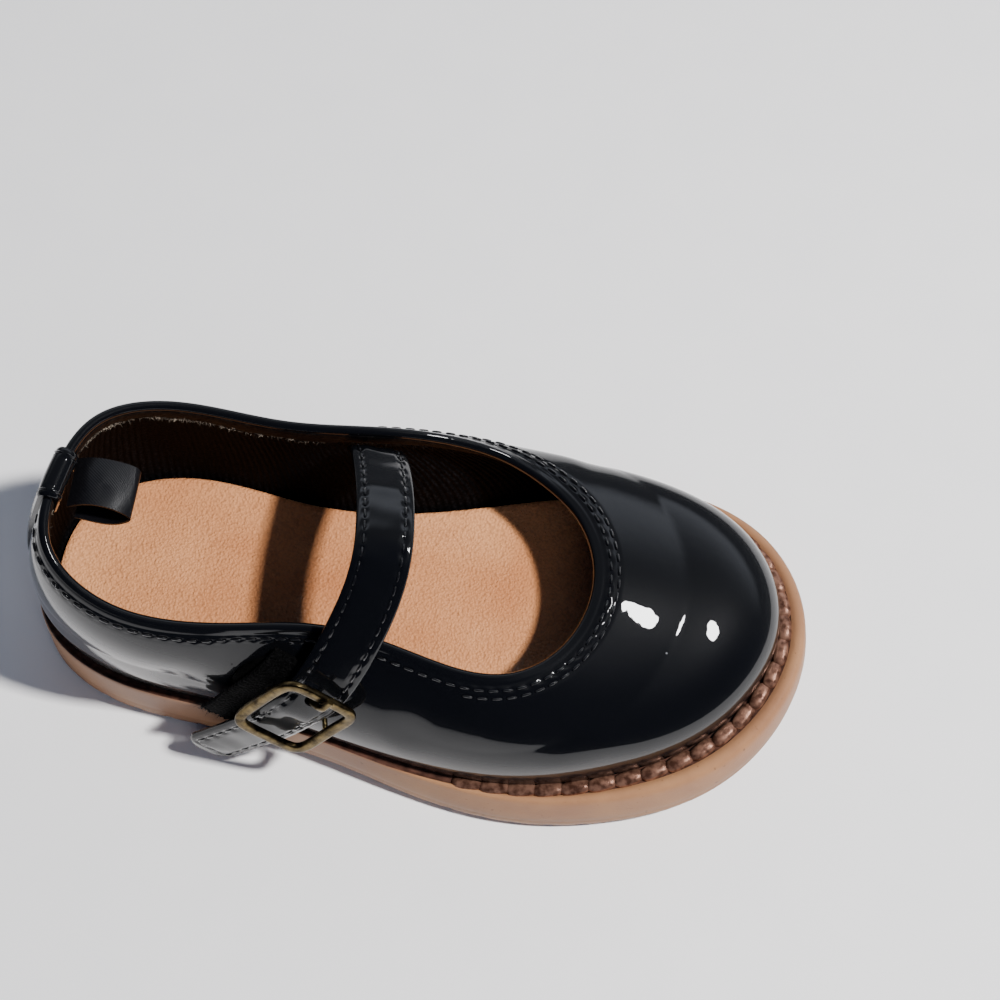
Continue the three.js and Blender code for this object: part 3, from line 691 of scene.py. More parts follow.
# Painted shade: the colour darkens towards the low valleys between the pebbles
valley = add(tree, "ShaderNodeMapRange", {"From Min": 0.3, "From Max": 0.75, "To Min": 0.0, "To Max": 0.35},
             {"Value": pebbles.outputs["Distance"]})
grain_and_painted_valley_shade = add(tree, "ShaderNodeMix", {"data_type": "RGBA", 7: srgb("#8A5A3C")}, {6: tone, 0: valley})
fine = add(tree, "ShaderNodeTexNoise", {"Scale": per_metre(0.526), "Detail": 2.0}, {"Vector": place})
height = add(tree, "ShaderNodeMath", {"operation": "MULTIPLY_ADD", 1: -1.0},
             {0: pebbles.outputs["Distance"], 2: fine})
relief = add(tree, "ShaderNodeBump", {"Strength": 0.8, "Distance": 0.00035}, {"Height": height})
shade(tree, {"Roughness": 0.36, "Specular IOR Level": 0.3},
      {"Base Color": grain_and_painted_valley_shade.outputs[2], "Normal": relief})


def insole_ring(inset, share, lift):
    outline_point = feather(turns) + inward(feather, turns) * (LINING_CLEAR + inset)
    point = towards_middle(outline_point, share)
    point[:, 2] = feather_height(point[:, 0]) + lift
    return point


rings = [insole_ring(0.2, s, 0) for s in (0.75, 0.4, 0.0)]
rings += [insole_ring(inset, 0, lift) for inset, lift in SOCK_SIDE]
for share in (0.05, 0.1, 0.16, 0.25, 0.4, 0.6, 0.8):
    rings.append(insole_ring(0.8, share, RAISED_EDGE - SOCK_HOLLOW * (1 - (1 - share) ** 6)))
insole = closed_rings("insole_sock", rings, tan_leather)
wear(insole, "insole_leather", "insole")


# ------------------------------------------------------------------------------------------------
# Upper: black patent leather, vamp and quarters pulled over one last. A clear coat over near-black
# leather, its edge folded over the collar and stitched down; it creases softly where the foot bends.

WALL, STITCH_DEPTH, SECOND_DEPTH, THREAD_PITCH = 2.0, 2.2, 3.8, 2.75

# A clear coat gives sharp reflections on a near-black ground: slow waves bend them, a fine peel
# roughens their edges, and the leather dips at each stitch; a few specks of dust lie on it
patent, tree, place = new_material("black patent leather")
seam_uv = add(tree, "ShaderNodeUVMap", {"uv_map": "millimetres"})
axes = add(tree, "ShaderNodeSeparateXYZ", None, {0: seam_uv})
dust = add(tree, "ShaderNodeTexVoronoi", {"Scale": per_metre(4.17)}, {"Vector": place})
speck = add(tree, "ShaderNodeMapRange", {"From Min": 0.03, "From Max": 0.06, "To Min": 0.5, "To Max": 0.0},
            {"Value": dust.outputs["Distance"]})
chosen = add(tree, "ShaderNodeMapRange", {"From Min": 0.8, "From Max": 0.82},
             {"Value": dust.outputs["Color"]})
dusty = add(tree, "ShaderNodeMath", {"operation": "MULTIPLY"}, {0: speck, 1: chosen})
base = add(tree, "ShaderNodeMix", {"data_type": "RGBA", 6: srgb("#08090C"), 7: srgb("#8E9299")}, {0: dusty})
slow = add(tree, "ShaderNodeTexNoise", {"Scale": per_metre(14.3), "Detail": 1.0}, {"Vector": place})
peel = add(tree, "ShaderNodeTexNoise", {"Scale": per_metre(2.38), "Detail": 1.0}, {"Vector": place})
fine_peel = add(tree, "ShaderNodeMath", {"operation": "MULTIPLY", 1: 0.14}, {0: peel})
skin_height = add(tree, "ShaderNodeMath", {"operation": "MULTIPLY_ADD", 1: 0.7}, {0: slow, 2: fine_peel})
# The thread pulls the leather in along each row: a dip at every stitch, a pucker between them
wave = add(tree, "ShaderNodeMath", {"operation": "MULTIPLY", 1: 2 * math.pi / THREAD_PITCH},
           {0: axes.outputs["X"]})
wave = add(tree, "ShaderNodeMath", {"operation": "COSINE"}, {0: wave})
wave = add(tree, "ShaderNodeMath", {"operation": "MULTIPLY_ADD", 1: 0.5, 2: 0.5}, {0: wave})
off_row = add(tree, "ShaderNodeMath", {"operation": "SUBTRACT", 1: STITCH_DEPTH}, {0: axes.outputs["Y"]})
off_row = add(tree, "ShaderNodeMath", {"operation": "ABSOLUTE"}, {0: off_row})
near = add(tree, "ShaderNodeMapRange", {
    "interpolation_type": "SMOOTHSTEP", "From Min": 0.0, "From Max": 1.1, "To Min": 1.0, "To Max": 0.0},
    {"Value": off_row})
pucker = add(tree, "ShaderNodeMath", {"operation": "MULTIPLY"}, {0: wave, 1: near})
pulled = add(tree, "ShaderNodeMath", {"operation": "MULTIPLY_ADD", 1: 2.4}, {0: pucker, 2: skin_height})
relief = add(tree, "ShaderNodeBump", {"Strength": 0.4, "Distance": 0.0002}, {"Height": pulled})
shade(tree, {"Roughness": 0.34, "Specular IOR Level": 0.06, "Coat Weight": 1.0, "Coat Roughness": 0.015,
             "Coat IOR": 1.39},
      {"Base Color": base.outputs[2], "Normal": relief, "Coat Normal": relief})

# Soft creases, each from one place to another on the upper: around in sections, up from sole (0)
# to collar (1), half width and depth in mm; a negative depth is a ridge
CREASES = {
    "outer_flex": (5.6, 0.25, 6.1, 0.75, 4.0, 0.35),
    "outer_flex_ridge": (6.0, 0.2, 6.5, 0.7, 4.0, -0.25),
    "inner_flex": (10.6, 0.3, 10.2, 0.75, 4.0, 0.3),
    "outer_quarter": (2.1, 0.2, 2.9, 0.6, 5.0, 0.45),
    "outer_heel": (1.1, 0.25, 1.7, 0.5, 4.0, 0.3),
    "under_strap": (4.3, 0.25, 4.8, 0.6, 4.0, 0.35),
    "inner_quarter": (13.2, 0.3, 12.6, 0.65, 5.0, 0.4),
}


def creased(points, normals):
    """Pushes a surface in along each crease, deepest at its middle."""
    moved = points.copy()
    for from_u, from_v, to_u, to_v, half_width, depth in CREASES.values():
        start = upper_face(np.array(from_u), np.array(from_v))
        line = upper_face(np.array(to_u), np.array(to_v)) - start
        reach = np.clip(((points - start) @ line) / (line @ line), 0, 1)
        gap = np.linalg.norm(points - start - reach[..., None] * line, axis=-1)
        push = depth * np.exp(-(gap / half_width) ** 2) * np.sin(np.pi * reach) ** 2
        moved -= normals * push[..., None]
    return moved


# The swelling below the collar in mm: its height, where it is full, where it ends, how far it fades
SWELL, SWELL_FULL, SWELL_END, SWELL_FADE = 0.85, 4, 18, 13
# Where it stops, in sections round the shoe, and over how much of one it fades
TAPE_BACK, TAPE_FRONT, STRAP_ROOT, HEEL_SEAM = (3.05, 0.25), (4.4, 0.8), (12.6, 0.5), (0.45, 0.4)


def rounded_over(u, depth):
    """How far in mm the leather swells below the collar, but not under strap, tape or heel strip."""
    clear = np.maximum((TAPE_BACK[0] - u) / TAPE_BACK[1], (u - TAPE_FRONT[0]) / TAPE_FRONT[1])
    clear = np.clip(clear, 0, 1) * np.clip((STRAP_ROOT[0] - u) / STRAP_ROOT[1], 0, 1)
    clear *= np.clip((u - HEEL_SEAM[0]) / HEEL_SEAM[1], 0, 1)
    rise = np.clip(depth / SWELL_FULL, 0, 1) * np.clip((SWELL_END - depth) / SWELL_FADE, 0, 1)
    return SWELL * clear * np.sin(rise * math.pi / 2)


# The second row runs round the throat only. Each dip: its depth below the collar, depth, half width
THROAT, THROAT_HALF = 8.2, 3.2
ROW_DIP, ROW_DIP_HALF, FOLD_AT, FOLD_DIP, FOLD_DIP_HALF = 0.16, 0.4, 1.2, 0.12, 0.5
COLLAR_CROWN, BACKING = 0.9, 1.1

around = np.linspace(0, AROUND, 601)
rise = 1 - (1 - np.linspace(0, 1, 72)) ** 1.8
U, V = np.meshgrid(around, rise, indexing="ij")
flat_face = upper_face(U, V)
normals = upper_normal(U, V)
depth_mm = 3 * column("top_pull", U) * (1 - V)
outer = creased(flat_face, normals) + normals * rounded_over(U, depth_mm)[..., None]
for row_depth, share in ((STITCH_DEPTH, 1), (SECOND_DEPTH, np.abs(U - THROAT) < THROAT_HALF)):
    outer -= normals * (ROW_DIP * share * np.exp(-((depth_mm - row_depth) / ROW_DIP_HALF) ** 2))[..., None]
outer -= normals * (FOLD_DIP * np.exp(-((depth_mm - FOLD_AT) / FOLD_DIP_HALF) ** 2))[..., None]

top_normal = normals[:, -1]
top_along = unit(flat_face[:, -1] - flat_face[:, -2])
roll = []
for angle in np.linspace(0, math.pi, 12)[1:-1]:
    out, over = WALL / 2 * (math.cos(angle) - 1), COLLAR_CROWN * math.sin(angle)
    roll.append(collar(around) + top_normal * out + top_along * over)
# The folded edge's inner face, a step back, and the backing down to the feather line
FACING_DEPTHS, STEP_DEPTH = (0.3, 0.8, 1.2), 1.3
BACKING_DEPTHS, BACKING_HEIGHTS = (1.5, 7), (0.6, 0.4, 0.2, 0.0)
facing = [off_upper(around, below_collar(around, depth), -WALL) for depth in FACING_DEPTHS]
facing.append(off_upper(around, below_collar(around, STEP_DEPTH), 0.3 - WALL))
backing = [off_upper(around, below_collar(around, depth), -BACKING) for depth in BACKING_DEPTHS]
backing += [off_upper(around, v, -BACKING) for v in BACKING_HEIGHTS]
profile = np.concatenate([outer, np.stack([*roll, *facing, *backing], 1)], 1)
run = run_along(collar(around))
run *= round(run[-1] / THREAD_PITCH) * THREAD_PITCH / run[-1]
inner_down = np.tile([*FACING_DEPTHS, STEP_DEPTH, 9, 12, 20, 25, 30, 35], (len(around), 1))
down = np.concatenate([depth_mm, np.zeros((len(around), len(roll))), inner_down, depth_mm[:, :1]], 1)
uv = np.stack([np.tile(run[:, None], (1, down.shape[1])), down], -1)
upper = skin("upper_patent", profile[:-1], patent, uv=uv, sharp=60)
wear(upper, "patent_leather", "upper")


# ------------------------------------------------------------------------------------------------
# Lining: a black ribbed textile glued inside the patent. Its cut edge frays below the folded
# leather, where a little of the pale backing thread shows.

LINING_DEPTH, RIB_PITCH = 1.6, 1.164
# A wave texture of scale 1 has one band in this many of its units
BAND = math.pi / 10

# A ribbed textile gives hardly any shine, only faint upright lines in the dark
ribbed, tree, place = new_material("black ribbed lining")
seam_uv = add(tree, "ShaderNodeUVMap", {"uv_map": "millimetres"})
ribs = add(tree, "ShaderNodeTexWave", {
    "Scale": BAND / RIB_PITCH, "Distortion": 0.8, "Detail": 2.0, "Detail Scale": 3.0}, {"Vector": seam_uv})
lint = add(tree, "ShaderNodeTexNoise", {"Scale": per_metre(0.526), "Detail": 3.0}, {"Vector": place})
tone = add(tree, "ShaderNodeValToRGB", {"stops": ((0.45, "#050506"), (0.8, "#1A191B"))}, {"Fac": lint})
height = add(tree, "ShaderNodeMath", {"operation": "MULTIPLY_ADD", 1: 0.4}, {0: lint, 2: ribs.outputs["Fac"]})
relief = add(tree, "ShaderNodeBump", {"Strength": 0.6, "Distance": 0.0004}, {"Height": height})
shade(tree, {"Roughness": 0.9, "Specular IOR Level": 0.1}, {"Base Color": tone, "Normal": relief})

lining_top = below_collar(around, LINING_DEPTH)
layers = [off_upper(around, lining_top * h, -BACKING - 0.1) for h in np.linspace(0, 1, 20)]
layers += [off_upper(around, lining_top * h, -WALL - 0.05) for h in np.linspace(1, 0, 30)]
rows_down = np.concatenate([np.linspace(30, 0, 20), np.linspace(0, 30, 30), [30]])
uv = np.stack(np.meshgrid(run, rows_down, indexing="ij"), -1)
lining = skin("lining", np.stack(layers, 1)[:-1], ribbed, uv=uv, sharp=60)
wear(lining, "lining_fabric")

# The turned-in edge of the upper is cut by hand a little unevenly; rubbing gives it a dull charcoal nap
turned_edge, tree, place = new_material("dull turned-in leather edge")
nap = add(tree, "ShaderNodeTexNoise", {"Scale": per_metre(0.909), "Detail": 4.0, "Roughness": 0.7},
          {"Vector": place})
tone = add(tree, "ShaderNodeValToRGB", {"stops": ((0.5, "#060607"), (0.78, "#1F1E1D"))}, {"Fac": nap})
relief = add(tree, "ShaderNodeBump", {"Strength": 0.7, "Distance": 0.0004}, {"Height": nap})
shade(tree, {"Roughness": 0.7, "Specular IOR Level": 0.15}, {"Base Color": tone, "Normal": relief})

# Waves of the cut edge: how many go round the shoe, their size in mm, their start
CUT_DEPTH = 3.5
CUT_WAVES = ((5, 0.3, 1), (23, 0.22, 0), (61, 0.14, 2))
cut_at = CUT_DEPTH + sum(size * np.sin(around * count * 2 * math.pi / AROUND + start)
                         for count, size, start in CUT_WAVES)
# share of the depth down to the cut, distance outside the wall's inner face
EDGE_FOLD = ((0.05, 0.15), (0.05, -0.15), (0.3, -0.38), (0.8, -0.42), (0.97, -0.36), (1.0, -0.22),
             (1.0, 0.15))
turned = [off_upper(around, below_collar(around, cut_at * share), gap - WALL) for share, gap in EDGE_FOLD]
facing_edge = skin("turned_edge", np.stack(turned, 1)[:-1], turned_edge, sharp=60)
wear(facing_edge, "lining_fabric")


def fibre_tree():
    """Geometry Nodes: a short bent thread end at every point, turned and sized at random."""
    group, given = new_tree("thread_ends", {"Fibre Length": "Float", "Fibre Width": "Float"})
    fibre = add(group, "GeometryNodeMeshCone", {
        "Vertices": 4, "Radius Top": 0.15, "Radius Bottom": 0.5, "Depth": 1.0})
    turned = add(group, "FunctionNodeRandomValue", {
        "data_type": "FLOAT_VECTOR", 0: (-3.1, -3.1, -3.1), 1: (3.1, 3.1, 3.1), "Seed": 4})
    grow = add(group, "FunctionNodeRandomValue", {"data_type": "FLOAT", 2: 0.4, 3: 1.2, "Seed": 9})
    length = add(group, "ShaderNodeMath", {"operation": "MULTIPLY"},
                 {0: given["Fibre Length"], 1: grow.outputs[1]})
    size = add(group, "ShaderNodeCombineXYZ", None, {
        0: given["Fibre Width"], 1: given["Fibre Width"], 2: length})
    on_every_point(group, given, fibre, turned, size)
    return group


fibres = fibre_tree()


def lint_material(name, dark, light):
    """Loose fibres: a dry fuzz whose tone changes from tuft to tuft."""
    material, tree, place = new_material(name)
    spread = add(tree, "ShaderNodeTexNoise", {"Scale": per_metre(3.33), "Detail": 2.0}, {"Vector": place})
    tone = add(tree, "ShaderNodeValToRGB", {"stops": ((0.42, dark), (0.62, light))}, {"Fac": spread})
    shade(tree, {"Roughness": 0.8}, {"Base Color": tone})
    return material


black_lint = lint_material("black thread ends", "#070707", "#2B2927")
pale_lint = lint_material("pale worn backing thread", "#4E4842", "#A79C8E")


def thread_ends(name, places, length, width, material, slot):
    """Thread ends of a length and width in mm at places in the last's millimetres."""
    sizes = {"Fibre Length": length / 1000, "Fibre Width": width / 1000, "Thread": material}
    wear(grown(name, fibres, places, {}, sizes), slot)


def at_cut(u, below, inside):
    """Places along the cut edge, so many mm below it and inside the wall."""
    return off_upper(u, below_collar(u, np.interp(u, around, cut_at) + below), -WALL - inside)


dice = np.random.default_rng(7)
u = dice.uniform(0, AROUND, 1500)
places = at_cut(u, dice.normal(0, 0.18, len(u)), 0.3 + dice.uniform(0, 0.2, len(u)))
thread_ends("raw_edge_lint", places, 0.9, 0.07, black_lint, "lining_fabric")
# The pale backing shows round the heel, where the foot rubs: from, to in sections, how many ends
WORN = ((12.6, 16.4, 260), (13.6, 15.4, 120), (0.2, 1.4, 60))
u = np.concatenate([dice.uniform(*stretch) for stretch in WORN]) % AROUND
places = at_cut(u, dice.normal(-0.1, 0.25, len(u)), 0.35 + dice.uniform(0, 0.25, len(u)))
thread_ends("worn_edge_lint", places, 0.8, 0.09, pale_lint, "lining_fabric")


# ------------------------------------------------------------------------------------------------
# Heel strip: a narrow band of the same patent that covers the back seam, folded over the collar
# and stitched down both edges.

# half width in sections round the heel, then sizes in mm
STRIP_HALF, STRIP_WIDTH, STRIP_THICKNESS, STRIP_CLEAR = 0.34, 12, 0.9, 0.35
STRIP_OUTSIDE, STRIP_INSIDE, STRIP_ROW_IN = 39, 7.5, 1.6
STRIP_ROUND, STRIP_ROUND_WIDTH, STRIP_ROW_DIP = 0.35, 0.7, 0.15
STRIP_ACROSS, STRIP_ALONG = 25, 110


def over_collar(u, s):
    """A path in mm: down the outside (negative), over the collar at 0, down the inside (positive)."""
    lift = STRIP_CLEAR + STRIP_THICKNESS / 2
    reach = WALL / 2 + lift
    turn = math.pi * reach / 2
    outside = off_upper(u, below_collar(u, -s - turn), lift)
    inside = off_upper(u, below_collar(u, s - turn), -WALL - lift)
    normal = upper_normal(u, 0.999)
    climb = unit(upper_face(u, 1.0) - upper_face(u, 0.98))
    angle = (math.pi / 2 * (1 + s / turn))[..., None]
    folded = collar(u) - normal * WALL / 2 + reach * (normal * np.cos(angle) + climb * np.sin(angle))
    s = s[..., None]
    return np.where(s <= -turn, outside, np.where(s >= turn, inside, folded))


def plate(name, middle, faces, thickness, material, uv=None):
    """A thin plate about a grid of middle points, with the way its outer face looks at each one."""
    front = middle + faces * thickness / 2
    rear = middle - faces * thickness / 2
    grid = np.concatenate([front, rear[:, ::-1]], 1)
    if uv is not None:
        uv = np.concatenate([uv, uv[:, ::-1], uv[:, :1]], 1)
    return skin(name, grid, material, rows_closed=False, uv=uv, caps=True, sharp=45)


def grid_normals(grid):
    along = np.gradient(grid, axis=0)
    across = np.gradient(grid, axis=1)
    return unit(np.cross(along, across))


strip_u, strip_s = np.meshgrid(np.linspace(-STRIP_HALF, STRIP_HALF, STRIP_ACROSS),
                               np.linspace(-STRIP_OUTSIDE, STRIP_INSIDE, STRIP_ALONG), indexing="ij")
strip_middle = over_collar(strip_u, strip_s)
strip_normals = grid_normals(strip_middle)
if strip_normals[STRIP_ACROSS // 2, 10] @ np.array([-1.0, 0, 0]) < 0:
    strip_normals = -strip_normals
from_edge = STRIP_WIDTH / 2 - np.abs(np.linspace(-STRIP_WIDTH / 2, STRIP_WIDTH / 2, STRIP_ACROSS))
from_edge = np.tile(from_edge[:, None], (1, STRIP_ALONG))
edge_round = STRIP_ROUND * np.clip(1 - from_edge / STRIP_ROUND_WIDTH, 0, 1) ** 2
row_dip = STRIP_ROW_DIP * np.exp(-((from_edge - STRIP_ROW_IN) / ROW_DIP_HALF) ** 2)
strip_middle = strip_middle - strip_normals * (edge_round + row_dip)[..., None]
strip_uv = np.stack([strip_s, from_edge + STITCH_DEPTH - STRIP_ROW_IN], -1)
heel_strip = plate("heel_strip_patent", strip_middle, strip_normals, STRIP_THICKNESS, patent, strip_uv)
wear(heel_strip, "patent_leather", "heel_strip")


# ------------------------------------------------------------------------------------------------
# Pull loop: a folded satin ribbon caught in the heel seam, standing forward as an open loop.

RIBBON_WIDTH, RIBBON_THICKNESS, SATIN_PITCH = 10, 0.5, 0.571

# Satin weave gives a long soft highlight over fine slanting lines
satin, tree, place = new_material("black satin ribbon")
seam_uv = add(tree, "ShaderNodeUVMap", {"uv_map": "millimetres"})
# A diagonal wave's bands are twice as far apart as an upright one's
ribs = add(tree, "ShaderNodeTexWave", {
    "Scale": 2 * BAND / SATIN_PITCH, "bands_direction": "DIAGONAL", "Distortion": 0.4}, {"Vector": seam_uv})
lint = add(tree, "ShaderNodeTexNoise", {"Scale": per_metre(0.667)}, {"Vector": place})
tone = add(tree, "ShaderNodeValToRGB", {"stops": ((0, "#050507"), (1, "#111114"))}, {"Fac": lint})
relief = add(tree, "ShaderNodeBump", {"Strength": 0.25, "Distance": 0.0001}, {"Height": ribs.outputs["Fac"]})
shade(tree, {"Roughness": 0.36, "Anisotropic": 0.6}, {"Base Color": tone, "Normal": relief})

# From the collar's inner face, along the shoe and up in mm: out of the seam, round and back to it
LOOP_ROOT = LENGTH * SECTIONS["heel_back"][4] / 100 + WALL + 1
LOOP_ROUTE = ((0, 46.9), (4, 47.9), (8.5, 47.3), (11.2, 45.6),
              (11.2, 43.8), (8.5, 42.4), (4.5, 42.3), (0.8, 42.2))
LOOP_STEP = 4
# Its edges hang back and down, and it lies a little askew and wavy
EDGE_BACK, EDGE_DOWN, LOOP_ASKEW, LOOP_WAVE = 0.125, 0.25, 0.35, 0.25
S, W = np.meshgrid(np.linspace(0, len(LOOP_ROUTE) - 1, 90), np.linspace(-1, 1, 21), indexing="ij")
line = smooth_curve(LOOP_ROUTE, closed=False)(S)
ribbon_middle = np.stack([
    LOOP_ROOT + line[..., 0] - EDGE_BACK * W ** 2,
    W * RIBBON_WIDTH / 2 + LOOP_ASKEW * np.sin(S * 0.9),
    line[..., 1] - EDGE_DOWN * W ** 2 + LOOP_WAVE * np.sin(S * 2.1 + W)], -1)
ribbon_uv = np.stack([S * LOOP_STEP, W * RIBBON_WIDTH / 2], -1)
pull_loop = plate("pull_loop_ribbon", ribbon_middle, grid_normals(ribbon_middle), RIBBON_THICKNESS, satin,
                  ribbon_uv)
wear(pull_loop, "ribbon", "pull_loop")


# ------------------------------------------------------------------------------------------------
# Loop patch on the outer quarter: a soft nylon pile with a round end, stuck to the patent. The part
# that the hook tape covers is left out.

# section round the shoe, height on the upper (0 to 1), half width as a share of that height
LOOP_PATCH = {
    "round_end": (3.02, 0.52, 0.03),
    "shoulder": (3.09, 0.57, 0.09),
    "middle": (3.22, 0.65, 0.1),
    "beside_tape": (3.38, 0.74, 0.07),
    "far_end": (3.44, 0.79, 0.03),
}
PATCH_THICKNESS = 0.7

# Looped pile gives a deep fuzzy black without a highlight
nylon, tree, place = new_material("black nylon loop pile")
pile = add(tree, "ShaderNodeTexNoise", {"Scale": per_metre(0.769), "Detail": 4.0, "Roughness": 0.7},
           {"Vector": place})
tone = add(tree, "ShaderNodeValToRGB", {"stops": ((0.4, "#030303"), (0.75, "#0E0E0F"))}, {"Fac": pile})
relief = add(tree, "ShaderNodeBump", {"Strength": 0.8, "Distance": 0.0006}, {"Height": pile})
shade(tree, {"Roughness": 0.9, "Specular IOR Level": 0.05}, {"Base Color": tone, "Normal": relief})

line = smooth_curve(list(LOOP_PATCH.values()), closed=False)
t, w = np.meshgrid(np.linspace(0, len(LOOP_PATCH) - 1, 60), np.linspace(-1, 1, 31), indexing="ij")
mid = line(t)
patch_u, patch_v = mid[..., 0], mid[..., 1] + w * mid[..., 2]
middle = off_upper(patch_u, patch_v, FEATHER_GAP + PATCH_THICKNESS / 2)
loop_patch = plate("loop_patch_pile", middle, upper_normal(patch_u, patch_v), PATCH_THICKNESS, nylon)
wear(loop_patch, "tape_fabric", "loop_patch")


# ------------------------------------------------------------------------------------------------
# Strap: patent folded over a textile core, 11 mm wide with rounded turned edges, stitched along
# Strap: patent folded over a textile core, 11 mm wide with rounded turned edges, stitched along both
# sides. It starts where it leaves the inner quarter's lining, behind which it is sewn, and curves over
# the instep to its free rounded tail.

STRAP_WIDTH, STRAP_THICKNESS, INSTEP_TOP = 11, 1.8, 48.6
# the middle's place along, across and up the shoe (the last a share of 100), the way its face looks
STRAP_ROUTE = {
    "sewn_end": (62.6, 19.4, 57, 0),
    "inner_wall": (64.4, 19.7, 70, 2),
    "leaves_lining": (65.8, 18.6, 80.5, 26),
    "inner_rise": (67.6, 13.6, 88.2, 52),
    "inner_instep": (69.5, 5.5, 95.9, 74),
    "crown": (70.7, -2.5, 99.8, 92),
    "outer_instep": (70.9, -9, 98.8, 108),
    "outer_fall": (69.8, -15.2, 92.8, 124),
    "over_collar": (67.4, -21.2, 83.6, 136),
    "outer_wall": (64.4, -26, 72.2, 148),
    "above_buckle": (60.9, -29.7, 61.5, 162),
    "in_buckle": (57.1, -31.5, 52, 174),
    "below_buckle": (52.6, -32.3, 39.6, 177),
    "tail": (46.8, -32.9, 26.3, 178),
    "tail_tip": (40.6, -33.4, 13.2, 178),
}
strap_line = smooth_curve(np.array(list(STRAP_ROUTE.values())) * [1, 1, INSTEP_TOP / 100, 1], closed=False)
STRAP_END = len(STRAP_ROUTE) - 1


def strap_frame(s):
    """Middle, direction, outer face and way across the strap at places along its route."""
    middle = strap_line(s)[..., :3]
    ahead = np.minimum(s + 1e-3, STRAP_END)
    along = unit(strap_line(ahead)[..., :3] - strap_line(ahead - 2e-3)[..., :3])
    angle = np.radians(strap_line(s)[..., 3])
    face = np.stack([0 * angle, np.cos(angle), np.sin(angle)], -1)
    face = unit(face - (face * along).sum(-1, keepdims=True) * along)
    return middle, along, face, np.cross(face, along)


def squared(wave, power):
    """A sine or cosine pushed towards 1 and -1, for a round that is nearly square."""
    return np.sign(wave) * np.abs(wave) ** power


TAIL_PAST, TAIL_STEPS, ROW_IN, FROM_UNDER_LINING = 2.6, 14, 1.7, 1.5
STRAP_STEPS, STRAP_ROUND, BAR_BEFORE_END = 300, 64, 3.15
# The core pads the strap between its rows, which pull it in, and the bar below bulges it
PAD_RISE, PAD_IN, PAD_HALF, STRAP_ROW_DIP, BAR_BULGE, BAR_BULGE_HALF = 0.3, 3.6, 2.0, 0.3, 0.35, 2.6
# Shallow waves in the leather: height and length in mm, slant across the strap, start
STRAP_WAVES = ((0.10, 13, 1.2, 0.4), (0.06, 5.7, -2.1, 1.9))
s = np.concatenate([np.linspace(FROM_UNDER_LINING, STRAP_END, STRAP_STEPS), np.full(TAIL_STEPS, STRAP_END)])
past = np.concatenate([np.zeros(STRAP_STEPS), TAIL_PAST * np.sin(np.linspace(0.08, math.pi / 2, TAIL_STEPS))])
middle, along, face, across = strap_frame(s)
middle = middle + along * past[:, None]
narrow = 0.45 + 0.55 * np.sqrt(np.clip(1 - (past / (TAIL_PAST * 1.001)) ** 2, 0, 1))
strap_run = run_along(middle)
at_mm = strap_run[:, None]
ring = np.linspace(0, 2 * math.pi, STRAP_ROUND, endpoint=False)
ring_across, ring_out = squared(np.cos(ring), 1 / 3), squared(np.sin(ring), 2 / 3)
from_side = (1 - np.abs(ring_across)) * STRAP_WIDTH / 2
inside = np.minimum(from_side, strap_run[-1] - at_mm)
pad = PAD_RISE * np.exp(-((inside - PAD_IN) / PAD_HALF) ** 2)
pad -= STRAP_ROW_DIP * np.exp(-((inside - ROW_IN) / ROW_DIP_HALF) ** 2)
wave = np.clip((inside - ROW_IN) / 1.5, 0, 1) * sum(
    size * np.sin(at_mm * 2 * math.pi / length + slant * ring_across + start)
    for size, length, slant, start in STRAP_WAVES)
bar_at = np.interp(STRAP_END - BAR_BEFORE_END, s[:STRAP_STEPS], strap_run[:STRAP_STEPS])
bulge = BAR_BULGE * np.exp(-((at_mm - bar_at) / BAR_BULGE_HALF) ** 2) * np.clip(from_side / 3, 0, 1)
top = np.clip((ring_out - 0.2) / 0.4, 0, 1)
thick = STRAP_THICKNESS / 2 * ring_out + top * (pad + wave + bulge)
wide = narrow[:, None] * ring_across * STRAP_WIDTH / 2
strap_grid = middle[:, None] + across[:, None] * wide[..., None] + face[:, None] * thick[..., None]
strap_in = np.concatenate([inside, inside[:, :1]], 1)
strap_uv = np.stack([np.tile(at_mm, (1, STRAP_ROUND + 1)), strap_in + STITCH_DEPTH - ROW_IN], -1)
strap = skin("strap_patent", strap_grid, patent, rows_closed=False, uv=strap_uv, caps=True, sharp=60)
buckle_middle, buckle_along, buckle_face, buckle_across = strap_frame(np.array(STRAP_END - BAR_BEFORE_END))


def in_buckle(across_mm, along_mm, out_mm):
    """Places measured from where the strap's middle runs through the buckle."""
    return (buckle_middle + np.multiply.outer(across_mm, buckle_across)
            + np.multiply.outer(along_mm, buckle_along) + np.multiply.outer(out_mm, buckle_face))


PRONG_HOLE, HOLE_ALONG = 2.9, -5.1
turn = np.linspace(0, 2 * math.pi, 24, endpoint=False)
a, b = PRONG_HOLE / 2 * np.cos(turn), HOLE_ALONG + PRONG_HOLE / 2 * np.sin(turn)
punch = skin("hole_punch", np.array([in_buckle(a, b, np.full(24, out)) for out in (-4, 4)]), patent,
             rows_closed=False, caps=True)
cut_away(strap, punch, sharp=60)
wear(strap, "patent_leather", "strap")


# ------------------------------------------------------------------------------------------------
# Hook tape: a woven black tape sewn under the strap's heel-side edge, its ribbed selvedge showing
# beside the strap and its cut end frayed.

TAPE_WIDTH, TAPE_THICKNESS, TAPE_ASIDE, CENTRE_BAR = 9.5, 0.8, 6.2, 0.9
HOOK_PITCH, SELVEDGE_PITCH, SELVEDGE_RIB = 0.625, 0.95, 0.14
# Before the strap's end, in points of its route: where it starts, rises (over how much) and ends
TAPE_FROM, TAPE_RISES, TAPE_RISE_RUN, TAPE_TO = 4.5, 1.9, 0.6, 1.0

